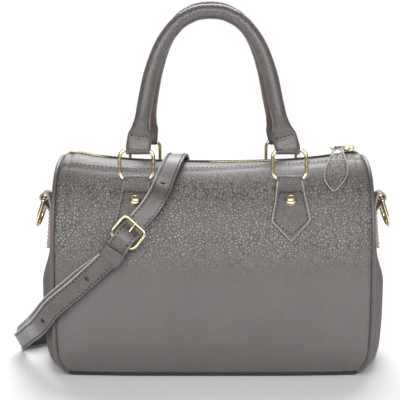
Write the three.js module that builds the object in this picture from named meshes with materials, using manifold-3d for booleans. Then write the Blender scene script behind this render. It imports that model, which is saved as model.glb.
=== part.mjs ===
// A small boston bag: soft leather body with a zip, two rolled handles on metal rings,
// D-rings at the ends and a buckled shoulder strap laid across it.
// Millimetres, +X along the bag, the front faces -Y, +Z up, the origin under the middle of the base.

import * as THREE from 'three';
import { mergeVertices } from 'three/addons/utils/BufferGeometryUtils.js';
import Module from 'manifold-3d';

const wasm = await Module();
wasm.setup();

// Driving dimensions of the body
const halfLength = 127;
const halfDepth = 70;
const bagHeight = 177.3;
const baseRise = 3.7;
const baseCurve = 6;
const leatherWall = 1.8;
const baseWall = 2.4;
const baseRimInset = 0.2;
const baseTurnInset = 2.1;
const baseTurnRise = 0.85;
const baseSlope = 1.44;
const gussetBulge = 19;
const topSag = 8.6;
const pipingRadius = 1.75;
const clearance = 0.3;

// Zip
const zipHalfGap = 5;
const tapeHalfWidth = 11;
const tapeThickness = 1;
const teethHalfWidth = 3;
const teethRise = 0.3;
const sliderLength = 10;
const sliderWidth = 9.6;
const sliderPlate = 1.3;
const sliderInset = 12;
const bridgeHeight = 2.4;
const bridgeWidth = 2.6;
const pullWire = 0.8;
const pullLoopLength = 15.5;
const pullLoopWidth = 9;
const pullLoopCorner = 2.4;
const pullForward = 0.72;
const leafLength = 58;
const leafHalfWidth = 9.8;
const leafThickness = 2.2;
const leafStudRadius = 2.6;
const leafStudHeight = 1.6;
const studAlong = 0.2;
const studLift = 0.93;

// Handles and their rings
const ringWidth = 30;
const ringHeight = 27;
const ringCorner = 8;
const ringWire = 1.55;
const ringPlace = 61.3;
const frontHandleHeight = 110;
const frontHandleLean = 14;
const frontHandleShift = -2;
const backHandleHeight = 116.5;
const backHandleLean = 11;
const backHandleShift = -2.5;
const handleRoll = 6;
const handleEndHalfWidth = 10;
const handleEndInset = 1.5;
const flatThickness = 2.6;

// Tabs that hold the handle rings
const tabHalfWidth = 10.5;
const tabFlare = 15.3;
const tabTipHalf = 0.6;
const tabThickness = 3;
const tabLoopLeather = 1.5;
const rivetRadius = 4.8;
const rivetHeight = 3.2;

// D-rings and their tabs
const dTabWidth = 16;
const dTabThickness = 3;
const dTabFoot = 95;
const dTabLoopHeight = 138.5;
const dTabLoopLeather = 1.6;
const dTabStandOff = 2.4;
const dLoopHole = 3.2;
const dLoopTurn = 1.22 * Math.PI;
const dNeckDrop = 2.4;
const dRingWidth = 25;
const dRingDepth = 28;
const dRingWire = 1.6;
const dRingSlant = 18;
const dRingCorner = 1.6;

// Shoulder strap and buckle
const strapWidth = 16;
const strapThickness = 2;
const strapHoleRadius = 1.6;
const strapHolePitch = 49;
const shortPartShift = 3.2;
const frameLength = 20;
const frameWidth = 25;
const frameWire = 1.3;
const frameCorner = 4;
const frameLoopLeather = 1.1;
const prongWire = 0.8;
const keeperLength = 11;
const keeperWall = 1.2;
const keeperStart = 4;
const layGap = 0.7;
const hookLength = 30;
const hookWidth = 13;
const hookWire = 1.6;
const hookFoldWidth = 7.8;

// Counts of steps
const lengthSteps = 14;
const panelSteps = 14;
const gussetSteps = 8;
const pipingSides = 6;
const wireSides = 6;
const rollSides = 10;
const domeSides = 8;
const cornerSteps = 3;
const plainCornerSteps = 2;

// Distances between the strap's sections: near the buckle, past the keeper, at the turn on the ground
// and elsewhere
const buckleStep = 4;
const strapStep = 8;
const turnStep = 5;
const plainStep = 15;
const turnLength = 50;

// How closely a panel's sections crowd towards its ends
const endCrowding = 0.42 * Math.PI;

// Section of the body from the base edge to the zip, in shares: height, half depth, half length
// at the seam, and how far the middle of the end panel bulges
const sectionRows = [
  { up: 0.000, out: 0.880, reach: 0.912, bulge: 0.70 },
  { up: 0.025, out: 0.935, reach: 0.955, bulge: 0.80 },
  { up: 0.080, out: 0.982, reach: 0.984, bulge: 0.90 },
  { up: 0.160, out: 0.998, reach: 0.995, bulge: 0.97 },
  { up: 0.270, out: 1.000, reach: 1.000, bulge: 1.00 },
  { up: 0.380, out: 0.998, reach: 1.000, bulge: 1.00 },
  { up: 0.550, out: 0.975, reach: 1.000, bulge: 0.61 },
  { up: 0.680, out: 0.920, reach: 1.000, bulge: 0.49 },
  { up: 0.780, out: 0.840, reach: 1.000, bulge: 0.45 },
  { up: 0.860, out: 0.735, reach: 1.000, bulge: 0.42 },
  { up: 0.920, out: 0.600, reach: 1.000, bulge: 0.35 },
  { up: 0.960, out: 0.440, reach: 1.000, bulge: 0.22 },
  { up: 0.985, out: 0.260, reach: 1.000, bulge: 0.10 },
  { up: 1.000, out: 0.000, reach: 1.000, bulge: 0.00 },
];

// Along the bag, in shares of the half length: drop of the top edge in shares of its sag,
// and fullness of the face
const lengthRows = [
  { along: 0.00, drop: 1.00, full: 1.030 },
  { along: 0.25, drop: 0.95, full: 1.028 },
  { along: 0.50, drop: 0.81, full: 1.025 },
  { along: 0.68, drop: 0.58, full: 1.012 },
  { along: 0.80, drop: 0.35, full: 1.000 },
  { along: 0.90, drop: 0.09, full: 0.982 },
  { along: 0.95, drop: 0.05, full: 0.965 },
  { along: 1.00, drop: 0.58, full: 0.940 },
];

// Handle's centre line from the ring's bar upwards, in shares: rise of the arch and half span of the bars
const handleRows = [
  { rise: 0.000, half: 1.000 },
  { rise: 0.110, half: 0.960 },
  { rise: 0.220, half: 0.918 },
  { rise: 0.355, half: 0.869 },
  { rise: 0.518, half: 0.807 },
  { rise: 0.684, half: 0.707 },
  { rise: 0.772, half: 0.632 },
  { rise: 0.859, half: 0.523 },
  { rise: 0.937, half: 0.382 },
  { rise: 0.987, half: 0.202 },
];

// Section of a handle's end, by the distance from the bar's centre in shares of the flat length:
// shares of the end's half width and of the flat thickness, and how round the section is
const handleEndRows = [
  { along: -0.335, wide: 0.90, thick: 0.40, round: 0.7 },
  { along: -0.250, wide: 0.97, thick: 1.10, round: 0.7 },
  { along: 0.000, wide: 1.00, thick: 1.48, round: 0.7 },
  { along: 0.280, wide: 1.00, thick: 1.30, round: 0.7 },
  { along: 0.620, wide: 0.99, thick: 1.02, round: 0.7 },
  { along: 1.000, wide: 0.96, thick: 1.00, round: 0.7 },
  { along: 1.450, wide: 0.76, thick: 1.55, round: 0.8 },
  { along: 2.050, wide: 0.64, thick: 2.10, round: 0.95 },
];
const handleFlatLength = 11.6;
const handleRollStart = 0.27;
const handleShiftEnd = 0.4;

// The two handles: side of the bag, height of the arch over the bars, lean of its top to the middle,
// and its shift along the bag
const handles = [
  { name: 'front', face: -1, height: frontHandleHeight, lean: frontHandleLean, shift: frontHandleShift },
  { name: 'back', face: 1, height: backHandleHeight, lean: backHandleLean, shift: backHandleShift },
];

// Outline of a handle tab, from its loop to its tip: share up the panel and share of the flare
const tabRows = [
  { up: 0.806, wide: 0 },
  { up: 0.775, wide: 0.05 },
  { up: 0.742, wide: 0.2 },
  { up: 0.690, wide: 0.55 },
  { up: 0.629, wide: 1 },
  { up: 0.590, wide: 1 },
  { up: 0.549, wide: 1 },
];
const tabShoulderUp = 0.629;
const tabTipUp = 0.549;
const tabRivetUp = 0.709;
const tabLoopUp = 0.796;

// Route of the strap on the bag, from its hidden end behind to the left edge of the front: face, share of
// the half length, share up the panel, and lift in layers of the strap. Where it lies over the left tab,
// beside counts from the tab's middle in shares of the tab's half width, and the tab's thickness is added
// to the lift
const strapBagRows = [
  { face: 1, along: -0.180, up: 0.290, layers: 0.0 },
  { face: 1, along: -0.190, up: 0.450, layers: 0.1 },
  { face: 1, along: -0.200, up: 0.620, layers: 0.2 },
  { face: 1, along: -0.220, up: 0.780, layers: 0.5 },
  { face: 1, along: -0.235, up: 0.920, layers: 1.3 },
  { face: -1, along: -0.260, up: 0.915, layers: 1.5 },
  { face: -1, along: -0.303, up: 0.804, layers: 0.7 },
  { face: -1, beside: 1.81, up: 0.736, layers: 0.7 },
  { face: -1, beside: 1.17, up: 0.680, layers: 0.5 },
  { face: -1, beside: 0.38, up: 0.631, layers: 0.1 },
  { face: -1, beside: -0.42, up: 0.583, layers: 0.0, buckle: true },
  { face: -1, beside: -0.98, up: 0.543, layers: 0.0 },
  { face: -1, along: -0.613, up: 0.498, layers: 0.6 },
  { face: -1, along: -0.724, up: 0.428, layers: 0.0 },
  { face: -1, along: -0.849, up: 0.352, layers: 0.3 },
  { face: -1, along: -0.925, up: 0.309, layers: 0.95 },
  { face: -1, along: -0.985, up: 0.277, layers: 1.3 },
];

// The same route past the bag's edge to the strap's tip, in shares of the half length, half depth and height,
// with the strap's tilt from standing on its edge, in degrees
const strapFreeRows = [
  { along: -1.080, out: -0.880, up: 0.252, tilt: 38 },
  { along: -1.190, out: -0.420, up: 0.160, tilt: 30 },
  { along: -1.299, out: -0.040, up: 0.073, tilt: 25 },
];

// The short part goes on from there: it turns back on the ground, standing on its edge, and runs behind
// the bag. Shares of the half length and half depth
const strapGroundRows = [
  { along: -1.318, out: 0.110, tilt: 8 },
  { along: -1.296, out: 0.230, tilt: 0 },
  { along: -1.235, out: 0.290, tilt: 0 },
  { along: -1.165, out: 0.400, tilt: 0 },
  { along: -1.100, out: 0.800, tilt: 0 },
  { along: -0.960, out: 1.130, tilt: 0 },
  { along: -0.700, out: 1.260, tilt: 0 },
  { along: -0.300, out: 1.280, tilt: 0 },
  { along: 0.150, out: 1.260, tilt: 0 },
];

const leather = { color: 0x787471, roughness: 0.6, metalness: 0 };
const gold = { color: 0xd8c79a, roughness: 0.25, metalness: 1 };
const cloth = { color: 0x4c4846, roughness: 0.9, metalness: 0 };

const bag = new THREE.Group();

// Shared helpers

function vector(x, y, z) {
  return new THREE.Vector3(x, y, z);
}

function curveThrough(rows, place, value) {
  const at = rows.map(place);
  const heights = rows.map(value);
  const slopes = at.slice(1).map((edge, i) => (heights[i + 1] - heights[i]) / (edge - at[i]));
  const tangents = heights.map((_, i) => {
    if (i === 0) return slopes[0];
    if (i === slopes.length) return slopes[i - 1];
    if (slopes[i - 1] * slopes[i] <= 0) return 0;
    return 2 * slopes[i - 1] * slopes[i] / (slopes[i - 1] + slopes[i]);
  });
  return t => {
    const clamped = Math.min(Math.max(t, at[0]), at[at.length - 1]);
    let i = 0;
    while (i < at.length - 2 && clamped > at[i + 1]) i++;
    const span = at[i + 1] - at[i];
    const u = (clamped - at[i]) / span;
    const rise = (3 - 2 * u) * u * u;
    return heights[i] * (1 - rise) + heights[i + 1] * rise
      + span * (tangents[i] * u * (1 - u) * (1 - u) - tangents[i + 1] * u * u * (1 - u));
  };
}

function signedVolume(positions, faces) {
  let volume = 0;
  const corner = index => vector(positions[3 * index], positions[3 * index + 1], positions[3 * index + 2]);
  for (let f = 0; f < faces.length; f += 3) {
    volume += corner(faces[f]).dot(corner(faces[f + 1]).cross(corner(faces[f + 2])));
  }
  return volume;
}

function closedGeometry(points, faces) {
  const positions = points.flatMap(point => [point.x, point.y, point.z]);
  if (signedVolume(positions, faces) < 0) faces.reverse();
  const geometry = new THREE.BufferGeometry();
  geometry.setAttribute('position', new THREE.Float32BufferAttribute(positions, 3));
  geometry.setIndex(faces);
  return geometry;
}

// A closed body through rings of points. Its ends are closed across, from each point to its opposite one,
// unless the rings run in a loop.
function loft(rings, loop = false) {
  const count = rings[0].length;
  const faces = [];
  const spans = loop ? rings.length : rings.length - 1;
  for (let r = 0; r < spans; r++) {
    const here = r * count;
    const next = (r + 1) % rings.length * count;
    for (let c = 0; c < count; c++) {
      const right = (c + 1) % count;
      faces.push(here + c, next + c, next + right, here + c, next + right, here + right);
    }
  }
  if (!loop) {
    const last = (rings.length - 1) * count;
    for (let c = 0; c < count / 2 - 1; c++) {
      const opposite = count - 1 - c;
      faces.push(c, c + 1, opposite - 1, c, opposite - 1, opposite);
      faces.push(last + c, last + opposite - 1, last + c + 1, last + c, last + opposite, last + opposite - 1);
    }
  }
  return closedGeometry(rings.flat(), faces);
}

function bare(geometry) {
  const copy = geometry.clone();
  copy.deleteAttribute('normal');
  copy.deleteAttribute('uv');
  return mergeVertices(copy, 1e-4);
}

function toSolid(geometry) {
  const merged = bare(geometry);
  return new wasm.Manifold(new wasm.Mesh({
    numProp: 3,
    vertProperties: new Float32Array(merged.attributes.position.array),
    triVerts: new Uint32Array(merged.index.array),
  }));
}

function toGeometry(solid) {
  const mesh = solid.getMesh();
  const geometry = new THREE.BufferGeometry();
  const positions = Float32Array.from(mesh.vertProperties);
  geometry.setAttribute('position', new THREE.Float32BufferAttribute(positions, 3));
  geometry.setIndex(Array.from(mesh.triVerts));
  return geometry;
}

function joined(...geometries) {
  return toGeometry(geometries.map(toSolid).reduce((all, next) => all.add(next)));
}

function cut(geometry, ...tools) {
  return toGeometry(tools.map(toSolid).reduce((left, tool) => left.subtract(tool), toSolid(geometry)));
}

function addPiece(name, geometry, material) {
  const piece = new THREE.Mesh(geometry, new THREE.MeshStandardMaterial(material));
  piece.name = name;
  bag.add(piece);
}

// A wire of round section through points, each section square to the path
function wire(points, radius, sides, loop = false) {
  const count = points.length;
  const rings = points.map((point, i) => {
    const before = loop ? points[(i + count - 1) % count] : points[Math.max(i - 1, 0)];
    const after = loop ? points[(i + 1) % count] : points[Math.min(i + 1, count - 1)];
    return { point, tangent: after.clone().sub(before).normalize() };
  });
  let across = vector(0.31, 0.87, 0.38).cross(rings[0].tangent).normalize();
  if (loop) across = loopNormal(points);
  return loft(rings.map(({ point, tangent }) => {
    across = across.clone().addScaledVector(tangent, -across.dot(tangent)).normalize();
    const other = tangent.clone().cross(across);
    return Array.from({ length: sides }, (_, k) => {
      const angle = 2 * Math.PI * k / sides;
      return point.clone()
        .addScaledVector(across, radius * Math.cos(angle))
        .addScaledVector(other, radius * Math.sin(angle));
    });
  }), loop);
}

function loopNormal(points) {
  const normal = vector(0, 0, 0);
  points.forEach((point, i) => normal.add(point.clone().cross(points[(i + 1) % points.length])));
  return normal.normalize();
}

// A rounded rectangle in its own plane, as points of x and y, counted from the middle of its right side
function roundedRectangle(width, height, corner, stepsPerCorner) {
  const points = [];
  const centres = [[1, 1], [-1, 1], [-1, -1], [1, -1]];
  centres.forEach(([right, top], quarter) => {
    for (let k = 0; k <= stepsPerCorner; k++) {
      const angle = (quarter + k / stepsPerCorner) * Math.PI / 2;
      points.push([
        right * (width / 2 - corner) + corner * Math.cos(angle),
        top * (height / 2 - corner) + corner * Math.sin(angle),
      ]);
    }
  });
  return points;
}

// The body's outer surface

const outShare = curveThrough(sectionRows, row => row.up, row => row.out);
const reachShare = curveThrough(sectionRows, row => row.up, row => row.reach);
const bulgeShare = curveThrough(sectionRows, row => row.up, row => row.bulge);
const dropShare = curveThrough(lengthRows, row => row.along, row => row.drop);
const fullShare = curveThrough(lengthRows, row => row.along, row => row.full);

// Share of height reached at a share of the way up the panel's skin
const sectionWay = (() => {
  const steps = 400;
  const rows = [{ way: 0, up: 0 }];
  for (let i = 1; i <= steps; i++) {
    const up = 1 - (1 - i / steps) ** 2;
    const last = rows[rows.length - 1];
    const stepOut = (outShare(up) - outShare(last.up)) * (halfDepth - zipHalfGap);
    const stepUp = (up - last.up) * bagHeight;
    rows.push({ way: last.way + Math.hypot(stepOut, stepUp), up });
  }
  const total = rows[rows.length - 1].way;
  return curveThrough(rows, row => row.way / total, row => row.up);
})();

function bodyPoint(face, x, way) {
  const along = Math.min(Math.abs(x) / halfLength, 1);
  const up = sectionWay(way);
  const top = bagHeight - topSag * dropShare(along);
  const y = zipHalfGap + (halfDepth - zipHalfGap) * outShare(up) * fullShare(along);
  return vector(x, face * y, baseRise + (top - baseRise) * up);
}

function bodyNormal(face, x, way) {
  const step = 0.004;
  const low = Math.max(way - step, 0);
  const high = Math.min(way + step, 1);
  const inner = Math.sign(x) * Math.min(Math.abs(x), halfLength - 1);
  const alongSkin = bodyPoint(face, inner + 1, way).sub(bodyPoint(face, inner - 1, way));
  const upSkin = bodyPoint(face, inner, high).sub(bodyPoint(face, inner, low));
  return alongSkin.cross(upSkin).multiplyScalar(-face).normalize();
}

// Point at a height over the body's skin
function skin(face, x, way, height) {
  return bodyPoint(face, x, way).addScaledVector(bodyNormal(face, x, way), height);
}

function seamPoint(end, face, way) {
  return bodyPoint(face, end * halfLength * reachShare(sectionWay(way)), way);
}

// Body panels

// Share of the way up at each row of a panel, closer together where the section turns
function rowWay(row, count) {
  const share = row / count;
  return 0.45 * share + 0.55 * (1 - Math.cos(Math.PI * share)) / 2;
}

// Sections along a panel lie closer together near its ends
function closerAtEnds(share) {
  return Math.sin(endCrowding * share) / Math.sin(endCrowding);
}

const seamGap = pipingRadius + clearance;

function panelHalfLength(face, way) {
  const step = 0.01;
  const low = seamPoint(1, face, Math.max(way - step, 0));
  const high = seamPoint(1, face, Math.min(way + step, 1));
  const run = high.sub(low);
  const slope = run.length() / Math.hypot(run.y, run.z);
  return seamPoint(1, face, way).x - seamGap * slope;
}

function panel(face) {
  const rings = [];
  for (let row = 0; row <= panelSteps; row++) {
    const way = rowWay(row, panelSteps);
    const half = panelHalfLength(face, way);
    const outer = [];
    const inner = [];
    for (let i = 0; i <= lengthSteps; i++) {
      const x = half * closerAtEnds(2 * i / lengthSteps - 1);
      outer.push(skin(face, x, way, 0));
      inner.unshift(skin(face, x, way, -leatherWall));
    }
    rings.push([...outer, ...inner]);
  }
  return loft(rings);
}

addPiece('front_panel', panel(-1), leather);
addPiece('back_panel', panel(1), leather);

// The seam around an end panel, as y and z, moved inwards by a distance in the panel's plane
function seamSection(way, inset) {
  const step = 0.01;
  const low = seamPoint(1, 1, Math.max(way - step, 0));
  const high = seamPoint(1, 1, Math.min(way + step, 1));
  const run = Math.hypot(high.y - low.y, high.z - low.z);
  const seam = seamPoint(1, 1, way);
  return {
    x: seam.x,
    y: seam.y - inset * (high.z - low.z) / run,
    z: seam.z + inset * (high.y - low.y) / run,
  };
}

const pipingLow = baseRise + pipingRadius;

function gussetMiddle(up) {
  return halfLength + gussetBulge * bulgeShare(up);
}

// The end panel starts where its seam has cleared the piping along the base
const gussetLowWay = (() => {
  let way = 0;
  while (seamSection(way, seamGap).z < pipingLow + seamGap) way += 0.001;
  return way;
})();

function gussetPoint(end, way, side) {
  const seam = seamSection(way, seamGap);
  const middle = gussetMiddle(sectionWay(way));
  const x = seam.x + (middle - seam.x) * (1 - side * side);
  return vector(end * x, side * seam.y, seam.z);
}

function gussetSkin(end, way, side, height) {
  const step = 0.02;
  const upSkin = gussetPoint(end, Math.min(way + step, 1), side)
    .sub(gussetPoint(end, Math.max(way - step, gussetLowWay), side));
  const acrossSkin = gussetPoint(end, way, Math.min(side + step, 1))
    .sub(gussetPoint(end, way, Math.max(side - step, -1)));
  const normal = acrossSkin.cross(upSkin).multiplyScalar(end).normalize();
  return gussetPoint(end, way, side).addScaledVector(normal, height);
}

function gusset(end) {
  const rings = [];
  for (let row = 0; row <= panelSteps; row++) {
    const way = gussetLowWay + (1 - gussetLowWay) * rowWay(row, panelSteps);
    const outer = [];
    const inner = [];
    for (let i = 0; i <= gussetSteps; i++) {
      const side = 2 * i / gussetSteps - 1;
      outer.push(gussetSkin(end, way, side, 0));
      inner.unshift(gussetSkin(end, way, side, -leatherWall));
    }
    rings.push([...outer, ...inner]);
  }
  return loft(rings);
}

const ends = [
  { name: 'left', end: -1 },
  { name: 'right', end: 1 },
];

ends.forEach(({ name, end }) => addPiece(`gusset_${name}`, gusset(end), leather));

// Piping: one loop round each end panel, up the front seam, over the zip's end, down the back
// and along the base
function piping(end) {
  const seamSteps = 14;
  const crossSteps = 3;
  const bottomSteps = 8;
  const front = [];
  const back = [];
  for (let k = 0; k <= seamSteps; k++) {
    const way = rowWay(k, seamSteps);
    const place = face => {
      const point = seamPoint(end, face, way);
      return point.setZ(Math.max(point.z, pipingLow));
    };
    front.push(place(-1));
    back.unshift(place(1));
  }
  const top = [];
  for (let k = 1; k < crossSteps; k++) {
    top.push(front[seamSteps].clone().lerp(back[0], k / crossSteps));
  }
  const bottom = [];
  const corner = seamPoint(1, 1, 0);
  for (let k = 1; k < bottomSteps; k++) {
    const side = 1 - 2 * k / bottomSteps;
    const x = corner.x + (gussetMiddle(0) - corner.x) * (1 - side * side);
    bottom.push(vector(end * x, side * corner.y, pipingLow));
  }
  return wire([...front, ...top, ...back, ...bottom], pipingRadius, pipingSides, true);
}

ends.forEach(({ name, end }) => addPiece(`piping_${name}`, piping(end), leather));

// Base: a flat panel with its edge turned up to the lower seams
function baseOutline() {
  const points = [];
  const frontSteps = 10;
  const endSteps = 6;
  const corner = seamPoint(1, 1, 0);
  for (const face of [-1, 1]) {
    for (let k = 0; k < frontSteps; k++) {
      points.push(bodyPoint(face, -face * corner.x * (2 * k / frontSteps - 1), 0).setZ(0));
    }
    for (let k = 0; k < endSteps; k++) {
      const side = face * (1 - 2 * k / endSteps);
      const x = corner.x + (gussetMiddle(0) - corner.x) * (1 - side * side);
      points.push(vector(-face * x, side * corner.y, 0));
    }
  }
  return points;
}

function baseRing(outline, inset, height) {
  return outline.map((point, i) => {
    const before = outline[(i + outline.length - 1) % outline.length];
    const after = outline[(i + 1) % outline.length];
    const run = after.clone().sub(before).normalize();
    const inwards = vector(-run.y, run.x, 0);
    if (inwards.dot(point) > 0) inwards.negate();
    return point.clone().addScaledVector(inwards, inset).setZ(height);
  });
}

function base() {
  const outline = baseOutline();
  const rimTop = baseRise - clearance;
  const rings = [
    baseRing(outline, baseCurve, 0),
    baseRing(outline, baseTurnInset, baseTurnRise),
    baseRing(outline, baseRimInset, rimTop),
    baseRing(outline, baseWall, rimTop),
    baseRing(outline, baseCurve + baseSlope, baseWall),
  ];
  const count = outline.length;
  const points = rings.flat();
  const faces = [];
  for (let r = 0; r < rings.length - 1; r++) {
    for (let c = 0; c < count; c++) {
      const right = (c + 1) % count;
      const here = r * count;
      const next = here + count;
      faces.push(here + c, here + right, next + right, here + c, next + right, next + c);
    }
  }
  const under = points.push(vector(0, 0, 0)) - 1;
  const over = points.push(vector(0, 0, baseWall)) - 1;
  const last = (rings.length - 1) * count;
  for (let c = 0; c < count; c++) {
    const right = (c + 1) % count;
    faces.push(under, right, c);
    faces.push(over, last + c, last + right);
  }
  return closedGeometry(points, faces);
}

addPiece('base_panel', base(), leather);

// Zip: tape under the panels' edges, closed teeth on it, and a slider near the right end

function zipTop(x) {
  return bodyPoint(1, x, 1).z;
}

function zipStrip(halfWidth, low, high) {
  const steps = 16;
  const half = halfLength - seamGap - clearance;
  const rings = [];
  for (let k = 0; k <= steps; k++) {
    const x = half * Math.sin(Math.PI / 2 * (2 * k / steps - 1));
    rings.push([
      vector(x, -halfWidth, low(x)),
      vector(x, halfWidth, low(x)),
      vector(x, halfWidth, high(x)),
      vector(x, -halfWidth, high(x)),
    ]);
  }
  return loft(rings);
}

// The tape lies under the lowest point of the panels' inner skin over its own width
function tapeTop(x) {
  const nearby = [x - 2 * leatherWall, x, x + 2 * leatherWall];
  return Math.min(...nearby.map(place => {
    let way = 1;
    while (Math.abs(bodyPoint(1, place, way).y) < tapeHalfWidth + leatherWall) way -= 0.005;
    return skin(1, place, way, -leatherWall).z;
  })) - clearance;
}

addPiece('zip_tape', zipStrip(tapeHalfWidth, x => tapeTop(x) - tapeThickness, tapeTop), cloth);
addPiece(
  'zip_teeth',
  zipStrip(teethHalfWidth, x => tapeTop(x) + clearance, x => zipTop(x) + teethRise),
  gold,
);

const sliderPlace = halfLength - sliderInset;
const sliderSeat = Math.max(
  zipTop(sliderPlace - sliderLength / 2),
  zipTop(sliderPlace),
  zipTop(sliderPlace + sliderLength / 2),
) + teethRise + clearance;

function boxAt(width, depth, height, x, y, z) {
  return new THREE.BoxGeometry(width, depth, height).translate(x, y, z);
}

function zipSlider() {
  const plateTop = sliderSeat + sliderPlate;
  const roofLow = plateTop + bridgeHeight;
  const legHeight = roofLow - plateTop + sliderPlate;
  const plate = boxAt(sliderLength, sliderWidth, sliderPlate, sliderPlace, 0, sliderSeat + sliderPlate / 2);
  const legs = [-1, 1].map(side => boxAt(
    sliderPlate,
    bridgeWidth,
    legHeight,
    sliderPlace + side * (sliderLength - sliderPlate) / 2,
    0,
    plateTop + bridgeHeight / 2,
  ));
  const roof = boxAt(sliderLength, bridgeWidth, sliderPlate, sliderPlace, 0, roofLow + sliderPlate / 2);
  return joined(plate, ...legs, roof);
}

addPiece('zip_slider', zipSlider(), gold);

const pullLevel = sliderSeat + sliderPlate + bridgeHeight / 2;
const pullRight = sliderPlace + clearance;
const pullFront = -pullForward * pullLoopWidth;

function pullLoopPoints() {
  const outline = roundedRectangle(pullLoopLength, pullLoopWidth, pullLoopCorner, plainCornerSteps);
  return outline.map(([x, y]) => vector(
    pullRight - pullLoopLength / 2 + x,
    pullFront + pullLoopWidth / 2 + y,
    pullLevel,
  ));
}

addPiece('zip_pull_loop', wire(pullLoopPoints(), pullWire, wireSides, true), gold);

// The leaf folds round the front of the pull's loop and hangs over the front shoulder of the bag
const leafHalfFold = 3.6;
const leafSlip = 1.5;
const leafTop = pullRight - pullLoopLength / 2 - leafSlip;
const leafDrift = 0.176;
const leafRows = [
  { along: 0.00, wide: 0.50, lift: 1.0 },
  { along: 0.12, wide: 0.52, lift: 1.0 },
  { along: 0.25, wide: 0.57, lift: 0.8 },
  { along: 0.40, wide: 0.71, lift: 0.5 },
  { along: 0.56, wide: 0.91, lift: 0.2 },
  { along: 0.70, wide: 1.00, lift: 0 },
  { along: 0.82, wide: 0.88, lift: 0 },
  { along: 0.93, wide: 0.50, lift: 0 },
  { along: 1.00, wide: 0.12, lift: 0 },
];

const leafLoopRadius = pullWire + clearance + leafThickness / 2;

// Skin share of the front panel at a distance back from the zip's edge
function wayFromZip(x, distance) {
  let way = 1;
  let gone = 0;
  let last = bodyPoint(-1, x, way);
  while (gone < distance && way > 0) {
    way -= 0.004;
    const next = bodyPoint(-1, x, way);
    gone += next.distanceTo(last);
    last = next;
  }
  return way;
}

// Height of the leaf's underside over the skin, where it keeps a share of its lift at the zip
function leafHeight(lift) {
  const startLift = pullLevel - zipTop(leafTop) - leafThickness / 2;
  return clearance + Math.max(startLift - clearance, 0) * lift;
}

function pullLeaf() {
  const start = vector(leafTop, pullFront, pullLevel);
  const reach = leafLength - leafLoopRadius;
  const rings = leafRows.map(({ along, wide, lift }) => {
    const x = leafTop - leafDrift * along * reach;
    const way = wayFromZip(x, along * reach);
    const height = leafHeight(lift);
    const half = leafHalfWidth * wide;
    return [
      skin(-1, x - half, way, height),
      skin(-1, x + half, way, height),
      skin(-1, x + half, way, height + leafThickness),
      skin(-1, x - half, way, height + leafThickness),
    ];
  });
  const fold = new THREE.CylinderGeometry(leafLoopRadius, leafLoopRadius, 2 * leafHalfFold, rollSides)
    .rotateZ(Math.PI / 2).translate(start.x, start.y, start.z);
  const gap = wire(pullLoopPoints(), pullWire + clearance, wireSides, true);
  return cut(joined(loft(rings), fold), gap);
}

addPiece('pull_leaf', pullLeaf(), leather);

// A low dome whose flat side lies on a surface
function dome(radius, height, at, normal) {
  const profile = [new THREE.Vector2(0, 0), new THREE.Vector2(radius, 0)];
  const steps = 3;
  for (let k = 1; k <= steps; k++) {
    const angle = Math.PI / 2 * k / steps;
    profile.push(new THREE.Vector2(radius * Math.cos(angle) * (k < steps ? 1 : 0), height * Math.sin(angle)));
  }
  const turn = new THREE.Quaternion().setFromUnitVectors(vector(0, 1, 0), normal);
  return bare(new THREE.LatheGeometry(profile, domeSides)).applyQuaternion(turn).translate(at.x, at.y, at.z);
}

function pullStud() {
  const gone = studAlong * (leafLength - leafLoopRadius);
  const x = leafTop - leafDrift * gone;
  const way = wayFromZip(x, gone);
  const height = leafHeight(studLift) + leafThickness + clearance;
  return dome(leafStudRadius, leafStudHeight, skin(-1, x, way, height), bodyNormal(-1, x, way));
}

addPiece('pull_stud', pullStud(), gold);

// Rings, tabs and rivets

const barOffset = clearance + tabLoopLeather + clearance + ringWire;
const ringSpan = ringHeight - 2 * ringWire;

function lowerBar(face, side) {
  return skin(face, side * ringPlace, tabLoopUp, barOffset);
}

function handleTop(handle) {
  return {
    lean: -handle.face * handle.lean,
    rise: handle.height,
  };
}

// Direction in which a handle and its rings stand up from their lower bars
function handleUp(handle) {
  const { lean, rise } = handleTop(handle);
  return vector(0, lean, rise).normalize();
}

function ringPoints(handle, side) {
  const bar = lowerBar(handle.face, side);
  const up = handleUp(handle);
  const centre = bar.clone().addScaledVector(up, ringSpan / 2);
  const width = ringWidth - 2 * ringWire;
  const outline = roundedRectangle(width, ringSpan, ringCorner - ringWire, cornerSteps);
  return outline.map(([x, z]) => centre.clone().add(vector(x, 0, 0)).addScaledVector(up, z));
}

function ring(handle, side, extra) {
  return wire(ringPoints(handle, side), ringWire + extra, wireSides, true);
}

function tabHalf(row) {
  const past = Math.max(0, (tabShoulderUp - row.up) / (tabShoulderUp - tabTipUp));
  const flared = tabHalfWidth + (tabFlare - tabHalfWidth) * row.wide;
  return Math.max(flared * (1 - past), tabTipHalf);
}

function tab(handle, side) {
  const rings = tabRows.map(row => {
    const centre = side * ringPlace;
    const half = tabHalf(row);
    const places = [-1, -0.5, 0, 0.5, 1].map(share => centre + share * half);
    return [
      ...places.map(x => skin(handle.face, x, row.up, clearance)),
      ...places.reverse().map(x => skin(handle.face, x, row.up, clearance + tabThickness)),
    ];
  });
  const bar = lowerBar(handle.face, side);
  const loopRadius = ringWire + clearance + tabLoopLeather;
  const loop = new THREE.CylinderGeometry(loopRadius, loopRadius, 2 * tabHalfWidth, rollSides)
    .rotateZ(Math.PI / 2).translate(bar.x, bar.y, bar.z);
  return cut(joined(loft(rings), loop), ring(handle, side, clearance));
}

function tabRivet(handle, side) {
  const x = side * ringPlace;
  const at = skin(handle.face, x, tabRivetUp, clearance + tabThickness + clearance);
  return dome(rivetRadius, rivetHeight, at, bodyNormal(handle.face, x, tabRivetUp));
}

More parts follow.
